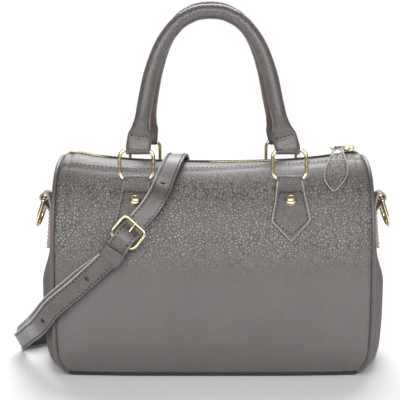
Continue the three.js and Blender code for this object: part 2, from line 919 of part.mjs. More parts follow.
handles.forEach(handle => ends.forEach(({ name, end }) => {
  addPiece(`ring_${handle.name}_${name}`, ring(handle, end, 0), gold);
  addPiece(`tab_${handle.name}_${name}`, tab(handle, end), leather);
  addPiece(`rivet_${handle.name}_${name}`, tabRivet(handle, end), gold);
}));

// Handles: a roll that flattens at both ends and folds round the rings' upper bars

const handleHalf = curveThrough(handleRows, row => row.rise, row => row.half);

function superSection(centre, across, through, wide, thick, round) {
  return Array.from({ length: rollSides }, (_, k) => {
    const angle = 2 * Math.PI * (k + 0.5) / rollSides;
    const shape = value => Math.sign(value) * Math.abs(value) ** round;
    return centre.clone()
      .addScaledVector(across, wide * shape(Math.cos(angle)))
      .addScaledVector(through, thick * shape(Math.sin(angle)));
  });
}

function rolledHandle(handle) {
  const up = handleUp(handle);
  const bars = lowerBar(handle.face, 1).addScaledVector(up, ringSpan);
  const span = ringPlace - handleEndInset;
  const through = vector(1, 0, 0).cross(up);
  const place = (x, rise) => {
    const shifted = Math.min(1, rise / handle.height / handleShiftEnd);
    const shift = handle.shift * Math.sin(Math.PI / 2 * shifted);
    return vector(x + shift, bars.y, bars.z).addScaledVector(up, rise);
  };
  const endRing = (side, row) => {
    const rise = row.along * handleFlatLength;
    const x = side * span * handleHalf(Math.max(rise, 0) / handle.height);
    return superSection(
      vector(x, bars.y, bars.z).addScaledVector(up, rise),
      vector(-side, 0, 0),
      through,
      handleEndHalfWidth * row.wide,
      flatThickness * row.thick,
      row.round,
    );
  };
  const archRows = [];
  const archSteps = 15;
  const line = [];
  const lineSteps = 200;
  for (let k = 0; k <= lineSteps; k++) {
    const angle = Math.PI * k / lineSteps;
    const rise = Math.sin(angle);
    const top = handleRows[handleRows.length - 1];
    const half = rise > top.rise ? top.half * Math.sqrt((1 - rise) / (1 - top.rise)) : handleHalf(rise);
    line.push(place(-Math.sign(Math.cos(angle)) * span * half, rise * handle.height));
  }
  const first = line.findIndex(point => point.z > bars.z + handleRollStart * handle.height);
  const arch = line.slice(first, line.length - first);
  const curve = new THREE.CatmullRomCurve3(arch.filter((_, i) => i % 4 === 0 || i === arch.length - 1));
  for (let k = 0; k <= archSteps; k++) {
    const tangent = curve.getTangentAt(k / archSteps);
    const across = tangent.clone().cross(through).normalize();
    archRows.push(superSection(curve.getPointAt(k / archSteps), across, through, handleRoll, handleRoll, 1));
  }
  const leftEnd = handleEndRows.map(row => endRing(-1, row));
  const rightEnd = handleEndRows.map(row => endRing(1, row)).reverse();
  return cut(
    loft([...leftEnd, ...archRows, ...rightEnd]),
    ring(handle, -1, clearance),
    ring(handle, 1, clearance),
  );
}

handles.forEach(handle => addPiece(`handle_${handle.name}`, rolledHandle(handle), leather));

// D-rings hanging in folded tabs on the end panels

function gussetMiddleAt(z) {
  let way = 1;
  while (gussetPoint(1, way, 0).z > z && way > 0) way -= 0.002;
  return gussetPoint(1, way, 0).x;
}

const dLoopRadius = dLoopHole + dTabLoopLeather;
const dBarPlace = gussetMiddleAt(dTabLoopHeight) + dTabStandOff + dLoopRadius;

// The ring's bar rests low in its loop
const dBarHeight = dTabLoopHeight - (dLoopHole - dRingWire - clearance);

function dTab(end) {
  const shape = new THREE.Shape();
  const legTop = dTabLoopHeight - dNeckDrop * dLoopRadius;
  const legSteps = 4;
  const nearby = [-3, 0, 3];
  for (let k = 0; k <= legSteps; k++) {
    const z = dTabFoot + (legTop - dTabFoot) * k / legSteps;
    const x = Math.max(...nearby.map(shift => gussetMiddleAt(z + shift))) + clearance;
    if (k === 0) shape.moveTo(x, z);
    else shape.lineTo(x, z);
  }
  const arcSteps = 10;
  for (let k = 0; k <= arcSteps; k++) {
    const angle = Math.PI - dLoopTurn * k / arcSteps;
    shape.lineTo(dBarPlace + dLoopRadius * Math.cos(angle), dTabLoopHeight + dLoopRadius * Math.sin(angle));
  }
  const footOuter = gussetMiddleAt(dTabFoot) + clearance + dTabThickness;
  shape.lineTo(footOuter, legTop);
  shape.lineTo(footOuter, dTabFoot);
  const hole = new THREE.Path();
  const holeSteps = 12;
  for (let k = 0; k < holeSteps; k++) {
    const angle = 2 * Math.PI * k / holeSteps;
    const x = dBarPlace + dLoopHole * Math.cos(angle);
    const z = dTabLoopHeight + dLoopHole * Math.sin(angle);
    if (k === 0) hole.moveTo(x, z);
    else hole.lineTo(x, z);
  }
  shape.holes.push(hole);
  const body = new THREE.ExtrudeGeometry(shape, { depth: dTabWidth, bevelEnabled: false, steps: 1 });
  return bare(body).rotateX(Math.PI / 2).translate(0, dTabWidth / 2, 0).rotateZ(end > 0 ? 0 : Math.PI);
}

// The ring's straight bar lies along Y in the tab's loop, and its bow hangs down and outwards
function dRing(end) {
  const points = [];
  const half = dRingWidth / 2 - dRingWire;
  const bowSteps = 10;
  const straight = dRingDepth - 2 * dRingWire - half;
  const corner = dRingCorner;
  const bend = corner * (1 - Math.SQRT1_2);
  points.push([-half + corner, 0]);
  points.push([half - corner, 0]);
  points.push([half - bend, -bend]);
  points.push([half, -corner]);
  for (let k = 0; k <= bowSteps; k++) {
    const angle = Math.PI * k / bowSteps;
    points.push([half * Math.cos(angle), -straight - half * Math.sin(angle)]);
  }
  points.push([-half, -corner]);
  points.push([-half + bend, -bend]);
  const slant = dRingSlant * Math.PI / 180;
  const away = vector(end * Math.sin(slant), 0, Math.cos(slant));
  const path = points.map(([y, down]) => vector(
    end * dBarPlace - away.x * down,
    y,
    dBarHeight + away.z * down,
  ));
  return wire(path, dRingWire, wireSides, true);
}

ends.forEach(({ name, end }) => {
  addPiece(`d_tab_${name}`, dTab(end), leather);
  addPiece(`d_ring_${name}`, dRing(end), gold);
});

// Shoulder strap: one route carries both parts, the buckle and the keeper

const strapLayer = strapThickness + clearance;

function bagRow(row) {
  const onTab = row.beside !== undefined;
  const x = onTab ? row.beside * tabHalfWidth - ringPlace : row.along * halfLength;
  const lift = row.layers * strapLayer + (onTab ? tabThickness + clearance : 0);
  return { point: skin(row.face, x, row.up, lift), normal: bodyNormal(row.face, x, row.up) };
}

const groundHeight = strapWidth / 2 + clearance;

function freeRow(row) {
  const tilt = row.tilt * Math.PI / 180;
  const z = row.up === undefined ? groundHeight : row.up * bagHeight;
  return {
    point: vector(row.along * halfLength, row.out * halfDepth, z),
    width: vector(-Math.sin(tilt), 0, Math.cos(tilt)),
  };
}

// Places along the route: distance from the start, and at each the directions along, across and out
function strapRoute(rows) {
  const curve = new THREE.CatmullRomCurve3(rows.map(row => row.point), false, 'centripetal');
  const parts = 800;
  curve.arcLengthDivisions = parts;
  const lengths = curve.getLengths(parts);
  const rowPlaces = rows.map((row, i) => lengths[Math.round(i * parts / (rows.length - 1))]);
  const widths = rows.map((row, i) => {
    const tangent = curve.getTangent(i / (rows.length - 1));
    return row.width ?? tangent.cross(row.normal).normalize();
  });
  const widthCurves = ['x', 'y', 'z'].map(axis => curveThrough(
    rows.map((row, i) => ({ at: rowPlaces[i], value: widths[i][axis] })),
    entry => entry.at,
    entry => entry.value,
  ));
  const length = lengths[parts];
  return {
    length,
    rowPlaces,
    at(distance) {
      const share = Math.min(Math.max(distance / length, 0), 1);
      const tangent = curve.getTangentAt(share);
      const point = curve.getPointAt(share).addScaledVector(tangent, distance - share * length);
      const width = vector(...widthCurves.map(value => value(distance)));
      width.addScaledVector(tangent, -width.dot(tangent)).normalize();
      const out = width.clone().cross(tangent);
      return { point, tangent, width, out };
    },
  };
}

const routeRows = [
  ...strapBagRows.map(bagRow),
  ...strapFreeRows.map(freeRow),
  ...strapGroundRows.map(freeRow),
];
const route = strapRoute(routeRows);
const longEnd = route.rowPlaces[strapBagRows.length + strapFreeRows.length - 1];
const frameMiddle = route.rowPlaces[strapBagRows.findIndex(row => row.buckle)];

function onRoute(along, across, height) {
  const place = route.at(along);
  return place.point.clone().addScaledVector(place.width, across).addScaledVector(place.out, height);
}

function ribbon(places, halfWidth, shift, low, thickness) {
  return loft(places.map(along => [
    onRoute(along, shift(along) - halfWidth, low(along)),
    onRoute(along, shift(along) + halfWidth, low(along)),
    onRoute(along, shift(along) + halfWidth, low(along) + thickness),
    onRoute(along, shift(along) - halfWidth, low(along) + thickness),
  ]));
}

function evenPlaces(from, to, step) {
  const count = Math.ceil((to - from) / step);
  return Array.from({ length: count + 1 }, (_, k) => from + (to - from) * k / count);
}

const heelPlace = frameMiddle + frameLength / 2 - frameWire;
const frontPlace = frameMiddle - frameLength / 2 + frameWire;
const heelLoopRadius = frameWire + clearance + frameLoopLeather;
const prongEye = frameWire + clearance + prongWire;
const heelHeight = clearance + Math.max(heelLoopRadius, prongEye + prongWire);
const frontBarHeight = clearance + strapThickness + 2 * clearance + frameWire;
const keeperFrom = heelPlace + heelLoopRadius + keeperStart;
const keeperTo = keeperFrom + keeperLength;
const shortLift = clearance + keeperWall + clearance;
const settleLength = 16;

// Height of each part's underside over the route
const longHeight = curveThrough([
  { at: frontPlace - frameLength, height: clearance },
  { at: frontPlace + 2 * frameWire, height: clearance },
  { at: heelPlace - frameWire, height: heelHeight + heelLoopRadius + clearance },
  { at: heelPlace + frameWire, height: heelHeight + heelLoopRadius + clearance },
  { at: keeperFrom, height: shortLift + strapLayer },
  { at: keeperTo, height: shortLift + strapLayer },
  { at: keeperTo + settleLength, height: strapLayer + layGap },
], row => row.at, row => row.height);

const shortHeight = curveThrough([
  { at: heelPlace, height: clearance },
  { at: heelPlace + heelLoopRadius, height: clearance },
  { at: keeperFrom, height: shortLift },
  { at: keeperTo, height: shortLift },
  { at: keeperTo + settleLength, height: clearance },
], row => row.at, row => row.height);

const shortShift = curveThrough([
  { at: keeperTo, shift: 0 },
  { at: keeperTo + 2 * settleLength, shift: shortPartShift },
  { at: longEnd - settleLength, shift: shortPartShift },
  { at: longEnd, shift: 0 },
], row => row.at, row => row.shift);

function framePoints() {
  const length = frameLength - 2 * frameWire;
  const outline = roundedRectangle(length, frameWidth - 2 * frameWire, frameCorner, cornerSteps);
  return outline.map(([along, across]) => {
    const share = along / length + 0.5;
    return onRoute(frameMiddle + along, across, frontBarHeight + (heelHeight - frontBarHeight) * share);
  });
}

const frameWirePoints = framePoints();

// The prong turns round the heel bar, comes up through the strap and lies on the front bar
function prong(extra) {
  const tipHeight = frontBarHeight + frameWire + clearance + prongWire;
  const points = [];
  const turnSteps = 5;
  for (let k = 0; k <= turnSteps; k++) {
    const angle = Math.PI * (1.1 * k / turnSteps - 0.6);
    points.push(onRoute(
      heelPlace + prongEye * Math.cos(angle),
      0,
      heelHeight + prongEye * Math.sin(angle),
    ));
  }
  points.push(onRoute(frontPlace + frameWire, 0, tipHeight));
  points.push(onRoute(frontPlace - frameWire, 0, tipHeight));
  return wire(points.reverse(), prongWire + extra, wireSides);
}

function hole(along) {
  const place = route.at(along);
  const turn = new THREE.Quaternion().setFromUnitVectors(vector(0, 1, 0), place.out);
  const centre = onRoute(along, 0, longHeight(along) + strapThickness / 2);
  return new THREE.CylinderGeometry(strapHoleRadius, strapHoleRadius, 3 * strapThickness, wireSides)
    .applyQuaternion(turn).translate(centre.x, centre.y, centre.z);
}

const hookRadius = hookWire + clearance + frameLoopLeather;
const hookHeight = clearance + hookRadius;

// One plain closed hook at a hidden end of the strap, its bar in the strap's folded end
function strapHookPoints(place, direction) {
  const outline = roundedRectangle(hookLength, hookWidth, hookWidth / 3, plainCornerSteps);
  return outline.map(([along, across]) => onRoute(
    place + direction * (along + hookLength / 2),
    across,
    hookHeight,
  ));
}

function foldedEnd(place, height, radius, width) {
  const { width: axis } = route.at(place);
  const turn = new THREE.Quaternion().setFromUnitVectors(vector(0, 1, 0), axis);
  const centre = onRoute(place, 0, height);
  return new THREE.CylinderGeometry(radius, radius, width, rollSides)
    .applyQuaternion(turn).translate(centre.x, centre.y, centre.z);
}

const longHook = strapHookPoints(0, -1);
const shortHook = strapHookPoints(route.length, 1);

function strapLong() {
  const places = [
    ...evenPlaces(0, frontPlace - frameLength, plainStep),
    ...evenPlaces(frontPlace - frameLength, keeperTo, buckleStep).slice(1),
    ...evenPlaces(keeperTo, longEnd, strapStep).slice(1),
  ];
  const body = ribbon(places, strapWidth / 2, () => 0, longHeight, strapThickness);
  const holes = [-1, 1, 2].map(count => hole(frameMiddle + count * strapHolePitch));
  return cut(
    joined(body, foldedEnd(0, hookHeight, hookRadius, hookFoldWidth)),
    prong(clearance),
    wire(longHook, hookWire + clearance, wireSides, true),
    ...holes,
  );
}

function strapShort() {
  const places = [
    ...evenPlaces(heelPlace, keeperTo, buckleStep),
    ...evenPlaces(keeperTo, longEnd, strapStep).slice(1),
    ...evenPlaces(longEnd, longEnd + turnLength, turnStep).slice(1),
    ...evenPlaces(longEnd + turnLength, route.length, plainStep).slice(1),
  ];
  const body = ribbon(places, strapWidth / 2, shortShift, shortHeight, strapThickness);
  return cut(
    joined(
      body,
      foldedEnd(heelPlace, heelHeight, heelLoopRadius, strapWidth),
      foldedEnd(route.length, hookHeight, hookRadius, hookFoldWidth),
    ),
    wire(frameWirePoints, frameWire + clearance, wireSides, true),
    wire(shortHook, hookWire + clearance, wireSides, true),
    prong(clearance),
  );
}

function strapKeeper() {
  const half = strapWidth / 2 + clearance;
  const top = shortLift + strapLayer + strapThickness + clearance;
  const corners = inset => [
    [-half - inset, shortLift - clearance - inset],
    [half + inset, shortLift - clearance - inset],
    [half + inset, top + inset],
    [-half - inset, top + inset],
  ];
  const places = evenPlaces(keeperFrom, keeperTo, 4);
  const shapeRing = (along, inset) => corners(inset).map(
    ([across, height]) => onRoute(along, across, height),
  );
  const outer = places.map(along => shapeRing(along, keeperWall));
  const inner = places.map(along => shapeRing(along, 0)).reverse();
  return loft([...outer, ...inner], true);
}

addPiece('strap_long', strapLong(), leather);
addPiece('strap_short', strapShort(), leather);
addPiece('buckle_frame', wire(frameWirePoints, frameWire, wireSides, true), gold);
addPiece('buckle_prong', prong(0), gold);
addPiece('strap_keeper', strapKeeper(), leather);
addPiece('strap_hook_long', wire(longHook, hookWire, wireSides, true), gold);
addPiece('strap_hook_short', wire(shortHook, hookWire, wireSides, true), gold);

export default bag;
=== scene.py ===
# A small leather boston bag with zip, rolled handles and a buckled strap, on a pale floor.
# Lengths are millimetres until a mesh is made. +X runs along the bag, the front faces -Y, +Z is up.

import math

import bmesh
import bpy
import numpy as np
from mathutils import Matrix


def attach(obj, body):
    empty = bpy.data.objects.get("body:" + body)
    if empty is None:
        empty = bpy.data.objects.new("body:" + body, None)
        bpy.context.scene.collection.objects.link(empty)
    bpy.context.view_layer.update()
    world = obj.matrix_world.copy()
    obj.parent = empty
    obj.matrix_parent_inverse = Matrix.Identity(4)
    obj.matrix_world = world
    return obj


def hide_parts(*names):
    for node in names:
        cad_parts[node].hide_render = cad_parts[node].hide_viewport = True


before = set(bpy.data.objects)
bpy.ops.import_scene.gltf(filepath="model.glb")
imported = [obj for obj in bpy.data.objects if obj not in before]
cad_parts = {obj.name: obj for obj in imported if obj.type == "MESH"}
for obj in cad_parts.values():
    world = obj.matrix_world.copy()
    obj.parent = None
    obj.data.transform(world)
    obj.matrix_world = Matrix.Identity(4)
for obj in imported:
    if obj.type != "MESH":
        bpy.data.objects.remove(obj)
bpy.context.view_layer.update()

MILLIMETRE = 0.001

# Driving dimensions, as in the solids
half_length = 127
half_depth = 70
bag_height = 177.3
base_rise = 3.7
base_curve = 6
leather_wall = 1.8
base_wall = 2.4
gusset_bulge = 19
top_sag = 8.6
piping_radius = 1.75
clearance = 0.3

zip_half_gap = 5
tape_half_width = 11
tape_thickness = 0.7
tooth_pitch = 2.5
slider_length = 10
slider_width = 9.6
slider_plate = 1.3
slider_inset = 12
bridge_height = 2.4
bridge_width = 2.6
pull_wire = 0.8
pull_loop_length = 15.5
pull_loop_width = 9
pull_loop_corner = 2.4
pull_forward = 0.72
leaf_length = 58
leaf_half_width = 9.8
leaf_thickness = 2.2
leaf_half_fold = 4.3
leaf_slip = 1.5
leaf_drift = 0.176

front_handle = {"name": "front", "face": -1, "height": 110, "lean": 14, "shift": -2}
back_handle = {"name": "back", "face": 1, "height": 116.5, "lean": 11, "shift": -2.5}
ring_width = 30
ring_height = 27
ring_corner = 8
ring_wire = 1.55
ring_place = 61.3
handle_roll = 6
handle_end_half_width = 10
handle_end_inset = 1.5
flat_thickness = 2.6
handle_flat_length = 11.6
handle_roll_start = 0.27

tab_half_width = 10.5
tab_flare = 15.3
tab_tip_half = 0.6
tab_thickness = 3
tab_loop_leather = 1.5
rivet_radius = 4.8

d_tab_width = 16
d_tab_foot = 95
d_loop_height = 138.5
d_loop_leather = 1.6
d_tab_stand_off = 2.4
d_loop_hole = 3.2
d_ring_width = 25
d_ring_depth = 28
d_ring_wire = 1.6
d_ring_slant = math.radians(18)
d_ring_corner = 1.6

strap_width = 16
strap_thickness = 2
strap_hole_radius = 1.6
strap_hole_pitch = 49
short_part_shift = 3.2
frame_length = 20
frame_width = 25
frame_wire = 1.3
frame_corner = 4
frame_loop_leather = 1.1
prong_wire = 0.8
keeper_length = 11
keeper_wall = 1.2
keeper_start = 4
lay_gap = 0.7
settle_length = 16
hook_length = 30
hook_width = 13
hook_wire = 1.6

sides = (("left", -1), ("right", 1))
faces = (("front", -1), ("back", 1))

# Section of the body: share of height, half depth, half length at the seam, bulge of the end panel
section_rows = [
    (0.000, 0.880, 0.912, 0.70),
    (0.025, 0.935, 0.955, 0.80),
    (0.080, 0.982, 0.984, 0.90),
    (0.160, 0.998, 0.995, 0.97),
    (0.270, 1.000, 1.000, 1.00),
    (0.380, 0.998, 1.000, 1.00),
    (0.550, 0.975, 1.000, 0.61),
    (0.680, 0.920, 1.000, 0.49),
    (0.780, 0.840, 1.000, 0.45),
    (0.860, 0.735, 1.000, 0.42),
    (0.920, 0.600, 1.000, 0.35),
    (0.960, 0.440, 1.000, 0.22),
    (0.985, 0.260, 1.000, 0.10),
    (1.000, 0.000, 1.000, 0.00),
]

# Along the bag: share of the half length, drop of the top edge, fullness of the face
length_rows = [
    (0.00, 1.00, 1.030),
    (0.25, 0.95, 1.028),
    (0.50, 0.81, 1.025),
    (0.68, 0.58, 1.012),
    (0.80, 0.35, 1.000),
    (0.90, 0.09, 0.982),
    (0.95, 0.05, 0.965),
    (1.00, 0.58, 0.940),
]

# Handle's centre line: rise of the arch and half span of the bars, in shares
handle_rows = [
    (0.000, 1.000),
    (0.110, 0.960),
    (0.220, 0.918),
    (0.355, 0.869),
    (0.518, 0.807),
    (0.684, 0.707),
    (0.772, 0.632),
    (0.859, 0.523),
    (0.937, 0.382),
    (0.987, 0.202),
]

# Section of a handle's end: distance from the bar in shares of the flat length, shares of its
# half width and thickness, and how round it is
handle_end_rows = [
    (-0.335, 0.90, 0.40, 0.70),
    (-0.250, 0.97, 1.10, 0.70),
    (0.000, 1.00, 1.48, 0.70),
    (0.280, 1.00, 1.30, 0.70),
    (0.620, 0.99, 1.02, 0.70),
    (1.000, 0.96, 1.00, 0.70),
    (1.450, 0.76, 1.55, 0.80),
    (2.050, 0.64, 2.10, 0.95),
]

# Handle tab from its loop to its tip: share up the panel and share of the flare
tab_rows = [
    (0.549, 1.0),
    (0.590, 1.0),
    (0.629, 1.0),
    (0.690, 0.55),
    (0.742, 0.2),
    (0.775, 0.05),
    (0.806, 0.0),
]
tab_shoulder_up = 0.629
tab_tip_up = 0.549
tab_rivet_up = 0.709
tab_loop_up = 0.796
tab_seam_up = 0.742

# Zip leaf: share of its length, of its half width, and of its lift at the zip
leaf_rows = [
    (0.00, 0.50, 1.0),
    (0.12, 0.52, 1.0),
    (0.25, 0.57, 0.8),
    (0.40, 0.71, 0.5),
    (0.56, 0.91, 0.2),
    (0.70, 1.00, 0.0),
    (0.82, 0.88, 0.0),
    (0.93, 0.50, 0.0),
    (1.00, 0.12, 0.0),
]

# The strap's route on the bag: face, share of the half length or, over the left tab, distance from the
# tab's middle in shares of its half width, share up the panel, lift in layers of the strap
strap_bag_rows = [
    (1, "along", -0.18, 0.290, 0.0),
    (1, "along", -0.19, 0.450, 0.1),
    (1, "along", -0.20, 0.620, 0.2),
    (1, "along", -0.22, 0.780, 0.5),
    (1, "along", -0.235, 0.920, 1.3),
    (-1, "along", -0.26, 0.915, 1.5),
    (-1, "along", -0.303, 0.804, 0.7),
    (-1, "beside", 1.81, 0.736, 0.7),
    (-1, "beside", 1.17, 0.680, 0.5),
    (-1, "beside", 0.38, 0.631, 0.1),
    (-1, "beside", -0.42, 0.583, 0.0),
    (-1, "beside", -0.98, 0.543, 0.0),
    (-1, "along", -0.613, 0.498, 0.6),
    (-1, "along", -0.724, 0.428, 0.0),
    (-1, "along", -0.849, 0.352, 0.3),
    (-1, "along", -0.925, 0.309, 0.95),
    (-1, "along", -0.985, 0.277, 1.3),
]
buckle_row = 10

# Past the bag's edge, in shares of half length, half depth and height, with the tilt in degrees
strap_free_rows = [(-1.080, -0.880, 0.252, 38), (-1.190, -0.420, 0.160, 30), (-1.299, -0.040, 0.073, 25)]

# On the ground behind the bag, standing on its edge, in shares of half length and half depth
strap_ground_rows = [
    (-1.318, 0.110, 8),
    (-1.296, 0.230, 0),
    (-1.235, 0.290, 0),
    (-1.165, 0.400, 0),
    (-1.100, 0.800, 0),
    (-0.960, 1.130, 0),
    (-0.700, 1.260, 0),
    (-0.300, 1.280, 0),
    (0.150, 1.260, 0),
]

# The zip's teeth over the top edge, at shares of its half length
tooth_rows = [
    (-1.0, 0.5),
    (-0.80, 0.4),
    (-0.68, -1.2),
    (-0.1, -1.2),
    (0.05, 0.0),
    (0.4, 0.0),
    (0.5, -1.2),
    (1.0, -1.2),
]

# Distance from the zip to the edge of the facing that is sewn along it
facing_rows = [(-1.0, 31), (-0.6, 29), (-0.2, 24.5), (0.1, 21), (0.4, 17), (1.0, 18)]

# Round stud on the leaf: radius and height
stud_rows = [(3.0, 0), (3.0, 0.35), (2.7, 0.55), (2.4, 0.6), (1.9, 1.0), (1.1, 1.3), (0, 1.4)]

# A stitch from end to end: shares of its length and thickness, and its dip in shares of its radius
stitch_rows = [(-0.5, 0.35, -0.8), (-0.3, 0.9, 0.0), (0.0, 1.0, 0.5), (0.3, 0.9, 0.0), (0.5, 0.35, -0.8)]


# Curves and vectors


def curve_through(at, values):
    at = np.asarray(at, float)
    values = np.asarray(values, float)
    slopes = np.diff(values) / np.diff(at)
    before = slopes[:-1]
    after = slopes[1:]
    both = np.where(before + after == 0, 1, before + after)
    inner = np.where(before * after > 0, 2 * before * after / both, 0)
    tangents = np.concatenate([slopes[:1], inner, slopes[-1:]])

    def curve(t):
        t = np.clip(t, at[0], at[-1])
        i = np.clip(np.searchsorted(at, t) - 1, 0, len(at) - 2)
        span = at[i + 1] - at[i]
        u = (t - at[i]) / span
        rise = (3 - 2 * u) * u * u
        bend = tangents[i] * u * (1 - u) ** 2 - tangents[i + 1] * u * u * (1 - u)
        return values[i] * (1 - rise) + values[i + 1] * rise + span * bend

    return curve


def column_curve(rows, column):
    return curve_through([row[0] for row in rows], [row[column] for row in rows])


def unit(vectors):
    return vectors / np.linalg.norm(vectors, axis=-1, keepdims=True)


def soft_step(low, high, value):
    share = np.clip((value - low) / (high - low), 0, 1)
    return share * share * (3 - 2 * share)


def distances(points):
    """How far along a line each of its points lies."""
    return np.concatenate([[0], np.cumsum(np.linalg.norm(np.diff(points, axis=0), axis=1))])


def resampled(points, count):
    gone = distances(points)
    places = np.linspace(0, gone[-1], count)
    return np.stack([np.interp(places, gone, points[:, axis]) for axis in range(3)], -1)


def smoothed(points, rounds=4):
    points = points.copy()
    for _ in range(rounds):
        points[1:-1] = (points[:-2] + 2 * points[1:-1] + points[2:]) / 4
    return points


# The body's outer surface

out_share = column_curve(section_rows, 1)
reach_share = column_curve(section_rows, 2)
bulge_share = column_curve(section_rows, 3)
drop_share = column_curve(length_rows, 1)
full_share = column_curve(length_rows, 2)


def skin_way():
    ups = 1 - (1 - np.linspace(0, 1, 401)) ** 2
    steps = np.hypot(np.diff(out_share(ups)) * (half_depth - zip_half_gap), np.diff(ups) * bag_height)
    gone = np.concatenate([[0], np.cumsum(steps)])
    return curve_through(gone / gone[-1], ups)


section_way = skin_way()


def body_point(face, x, way):
    x, way = np.broadcast_arrays(np.asarray(x, float), np.asarray(way, float))
    along = np.minimum(np.abs(x) / half_length, 1)
    up = section_way(way)
    top = bag_height - top_sag * drop_share(along)
    y = zip_half_gap + (half_depth - zip_half_gap) * out_share(up) * full_share(along)
    return np.stack([x, face * y, base_rise + (top - base_rise) * up], -1)


def body_normal(face, x, way):
    step = 0.004
    x = np.sign(x) * np.minimum(np.abs(x), half_length - 1)
    along_skin = body_point(face, x + 1, way) - body_point(face, x - 1, way)
    up_skin = body_point(face, x, np.minimum(way + step, 1)) - body_point(face, x, np.maximum(way - step, 0))
    return unit(-face * np.cross(along_skin, up_skin))


def skin(face, x, way, height):
    x, way, height = np.broadcast_arrays(*(np.asarray(v, float) for v in (x, way, height)))
    return body_point(face, x, way) + body_normal(face, x, way) * height[..., None]


def seam_point(end, face, way):
    return body_point(face, end * half_length * reach_share(section_way(way)), way)


def way_from_zip(face, x, distance):
    ways = np.linspace(1, 0.3, 400)
    return float(np.interp(distance, distances(body_point(face, x, ways)), ways))


def zip_top(x):
    return body_point(1, x, 1)[..., 2]


# Meshes


def loft(rings, loop=False, paint=None, round_caps=False):
    """Points, faces and paint of a closed body through rings of points."""
    rings = np.asarray(rings)
    count, size = rings.shape[:2]
    index = np.arange(count * size).reshape(count, size)
    here = index if loop else index[:-1]
    there = np.roll(index, -1, axis=0) if loop else index[1:]
    quads = np.stack([here, np.roll(here, -1, axis=1), np.roll(there, -1, axis=1), there], -1).reshape(-1, 4)
    faces = quads.tolist()
    paint = np.zeros(size, int) if paint is None else np.asarray(paint)
    painted = np.tile(paint, len(here)).tolist()
    if not loop and round_caps:
        faces += [index[0][::-1].tolist(), index[-1].tolist()]
        painted += [int(paint.max())] * 2
    if not loop and not round_caps:
        for row in (index[0], index[-1]):
            for c in range(size // 2 - 1):
                faces.append([int(row[c]), int(row[c + 1]), int(row[size - 2 - c]), int(row[size - 1 - c])])
                painted.append(int(paint.max()))
    return rings.reshape(-1, 3), faces, painted


def face_outwards(mesh):
    shape = bmesh.new()
    shape.from_mesh(mesh)
    bmesh.ops.recalc_face_normals(shape, faces=shape.faces)
    shape.to_mesh(mesh)
    shape.free()


def link_object(name, data):
    item = bpy.data.objects.new(name, data)
    bpy.context.scene.collection.objects.link(item)
    return item


def add_piece(name, parts, materials, nodes=(), body="bag"):
    points = []
    faces = []
    painted = []
    start = 0
    for part_points, part_faces, part_paint in parts:
        points.append(part_points)
        faces += [[corner + start for corner in face] for face in part_faces]
        painted += part_paint
        start += len(part_points)
    mesh = bpy.data.meshes.new(name)
    mesh.from_pydata((np.concatenate(points) * MILLIMETRE).tolist(), [], faces)
    mesh.polygons.foreach_set("material_index", painted)
    mesh.polygons.foreach_set("use_smooth", [True] * len(faces))
    for material in materials:
        mesh.materials.append(material)
    face_outwards(mesh)
    piece = link_object(name, mesh)
    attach(piece, body)
    if nodes:
        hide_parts(*nodes)
    return piece


def strip_section(half, low, thick, steps=4, corner_share=0.42):
    """Across and height of a strip's rounded section, and the paint of each side of it: 1 on its edges."""
    corner = thick * corner_share
    turns = np.linspace(0, math.pi / 2, 4)
    across = []
    height = []
    paint = []
    for right, top, start in ((1, 1, 0), (-1, 1, 1), (-1, -1, 2), (1, -1, 3)):
        angles = turns + start * math.pi / 2
        across += list(right * (half - corner) + corner * np.cos(angles))
        height += list(low + thick / 2 + top * (thick / 2 - corner) + corner * np.sin(angles))
        paint += [1] * (len(angles) - 1)
        if start in (0, 2):
            between = np.linspace(1, -1, steps + 1)[1:-1] * (half - corner) * right
            across += list(between)
            height += [low + thick / 2 + top * thick / 2] * len(between)
            paint += [0] * (len(between) + 1)
        else:
            paint.append(1)
    return np.array(across), np.array(height), paint


def wire(points, radius, sides=14, loop=False):
    points = np.asarray(points, float)
    if loop:
        tangents = unit(np.roll(points, -1, axis=0) - np.roll(points, 1, axis=0))
        across = np.cross(points - points.mean(axis=0), np.roll(points, -1, axis=0) - points).sum(axis=0)
    else:
        tangents = unit(np.gradient(points, axis=0))
        across = np.cross([0.31, 0.87, 0.38], tangents[0])
    radius = np.broadcast_to(radius, len(points))
    angles = 2 * math.pi * np.arange(sides) / sides
    rings = []
    for point, tangent, size in zip(points, tangents, radius):
        across = unit(across - across.dot(tangent) * tangent)
        other = np.cross(tangent, across)
        rings.append(point + size * (np.outer(np.cos(angles), across) + np.outer(np.sin(angles), other)))
    return loft(rings, loop=loop, round_caps=True)


def rounded_rectangle(width, height, corner, steps=8):
    points = []
    for quarter, (right, top) in enumerate(((1, 1), (-1, 1), (-1, -1), (1, -1))):
        for k in range(steps + 1):
            angle = (quarter + k / steps) * math.pi / 2
            points.append((
                right * (width / 2 - corner) + corner * math.cos(angle),
                top * (height / 2 - corner) + corner * math.sin(angle),
            ))
    return np.array(points)


def lathe(profile, at, normal, sides=32):
    """A turned body: profile of radius and height from its foot's middle to its top."""
    normal = unit(np.asarray(normal, float))
    across = unit(np.cross(normal, [0.2, 0.3, 0.9]))
    other = np.cross(normal, across)
    angles = 2 * math.pi * np.arange(sides) / sides
    circle = np.outer(np.cos(angles), across) + np.outer(np.sin(angles), other)
    rings = [np.asarray(at) + max(radius, 0.02) * circle + height * normal for radius, height in profile]
    return loft(rings, round_caps=True)


def roller(centre, axis, radius, half, edge=0.6):
    """A round bar of leather with softened ends, along an axis."""
    ends = ((0, edge * 1.4), (edge * 0.3, edge * 0.5), (edge, 0))
    profile = [(radius - inset, along - half) for along, inset in ends]
    profile += [(radius - inset, half - along) for along, inset in reversed(ends)]
    return lathe(profile, centre, axis, 28)


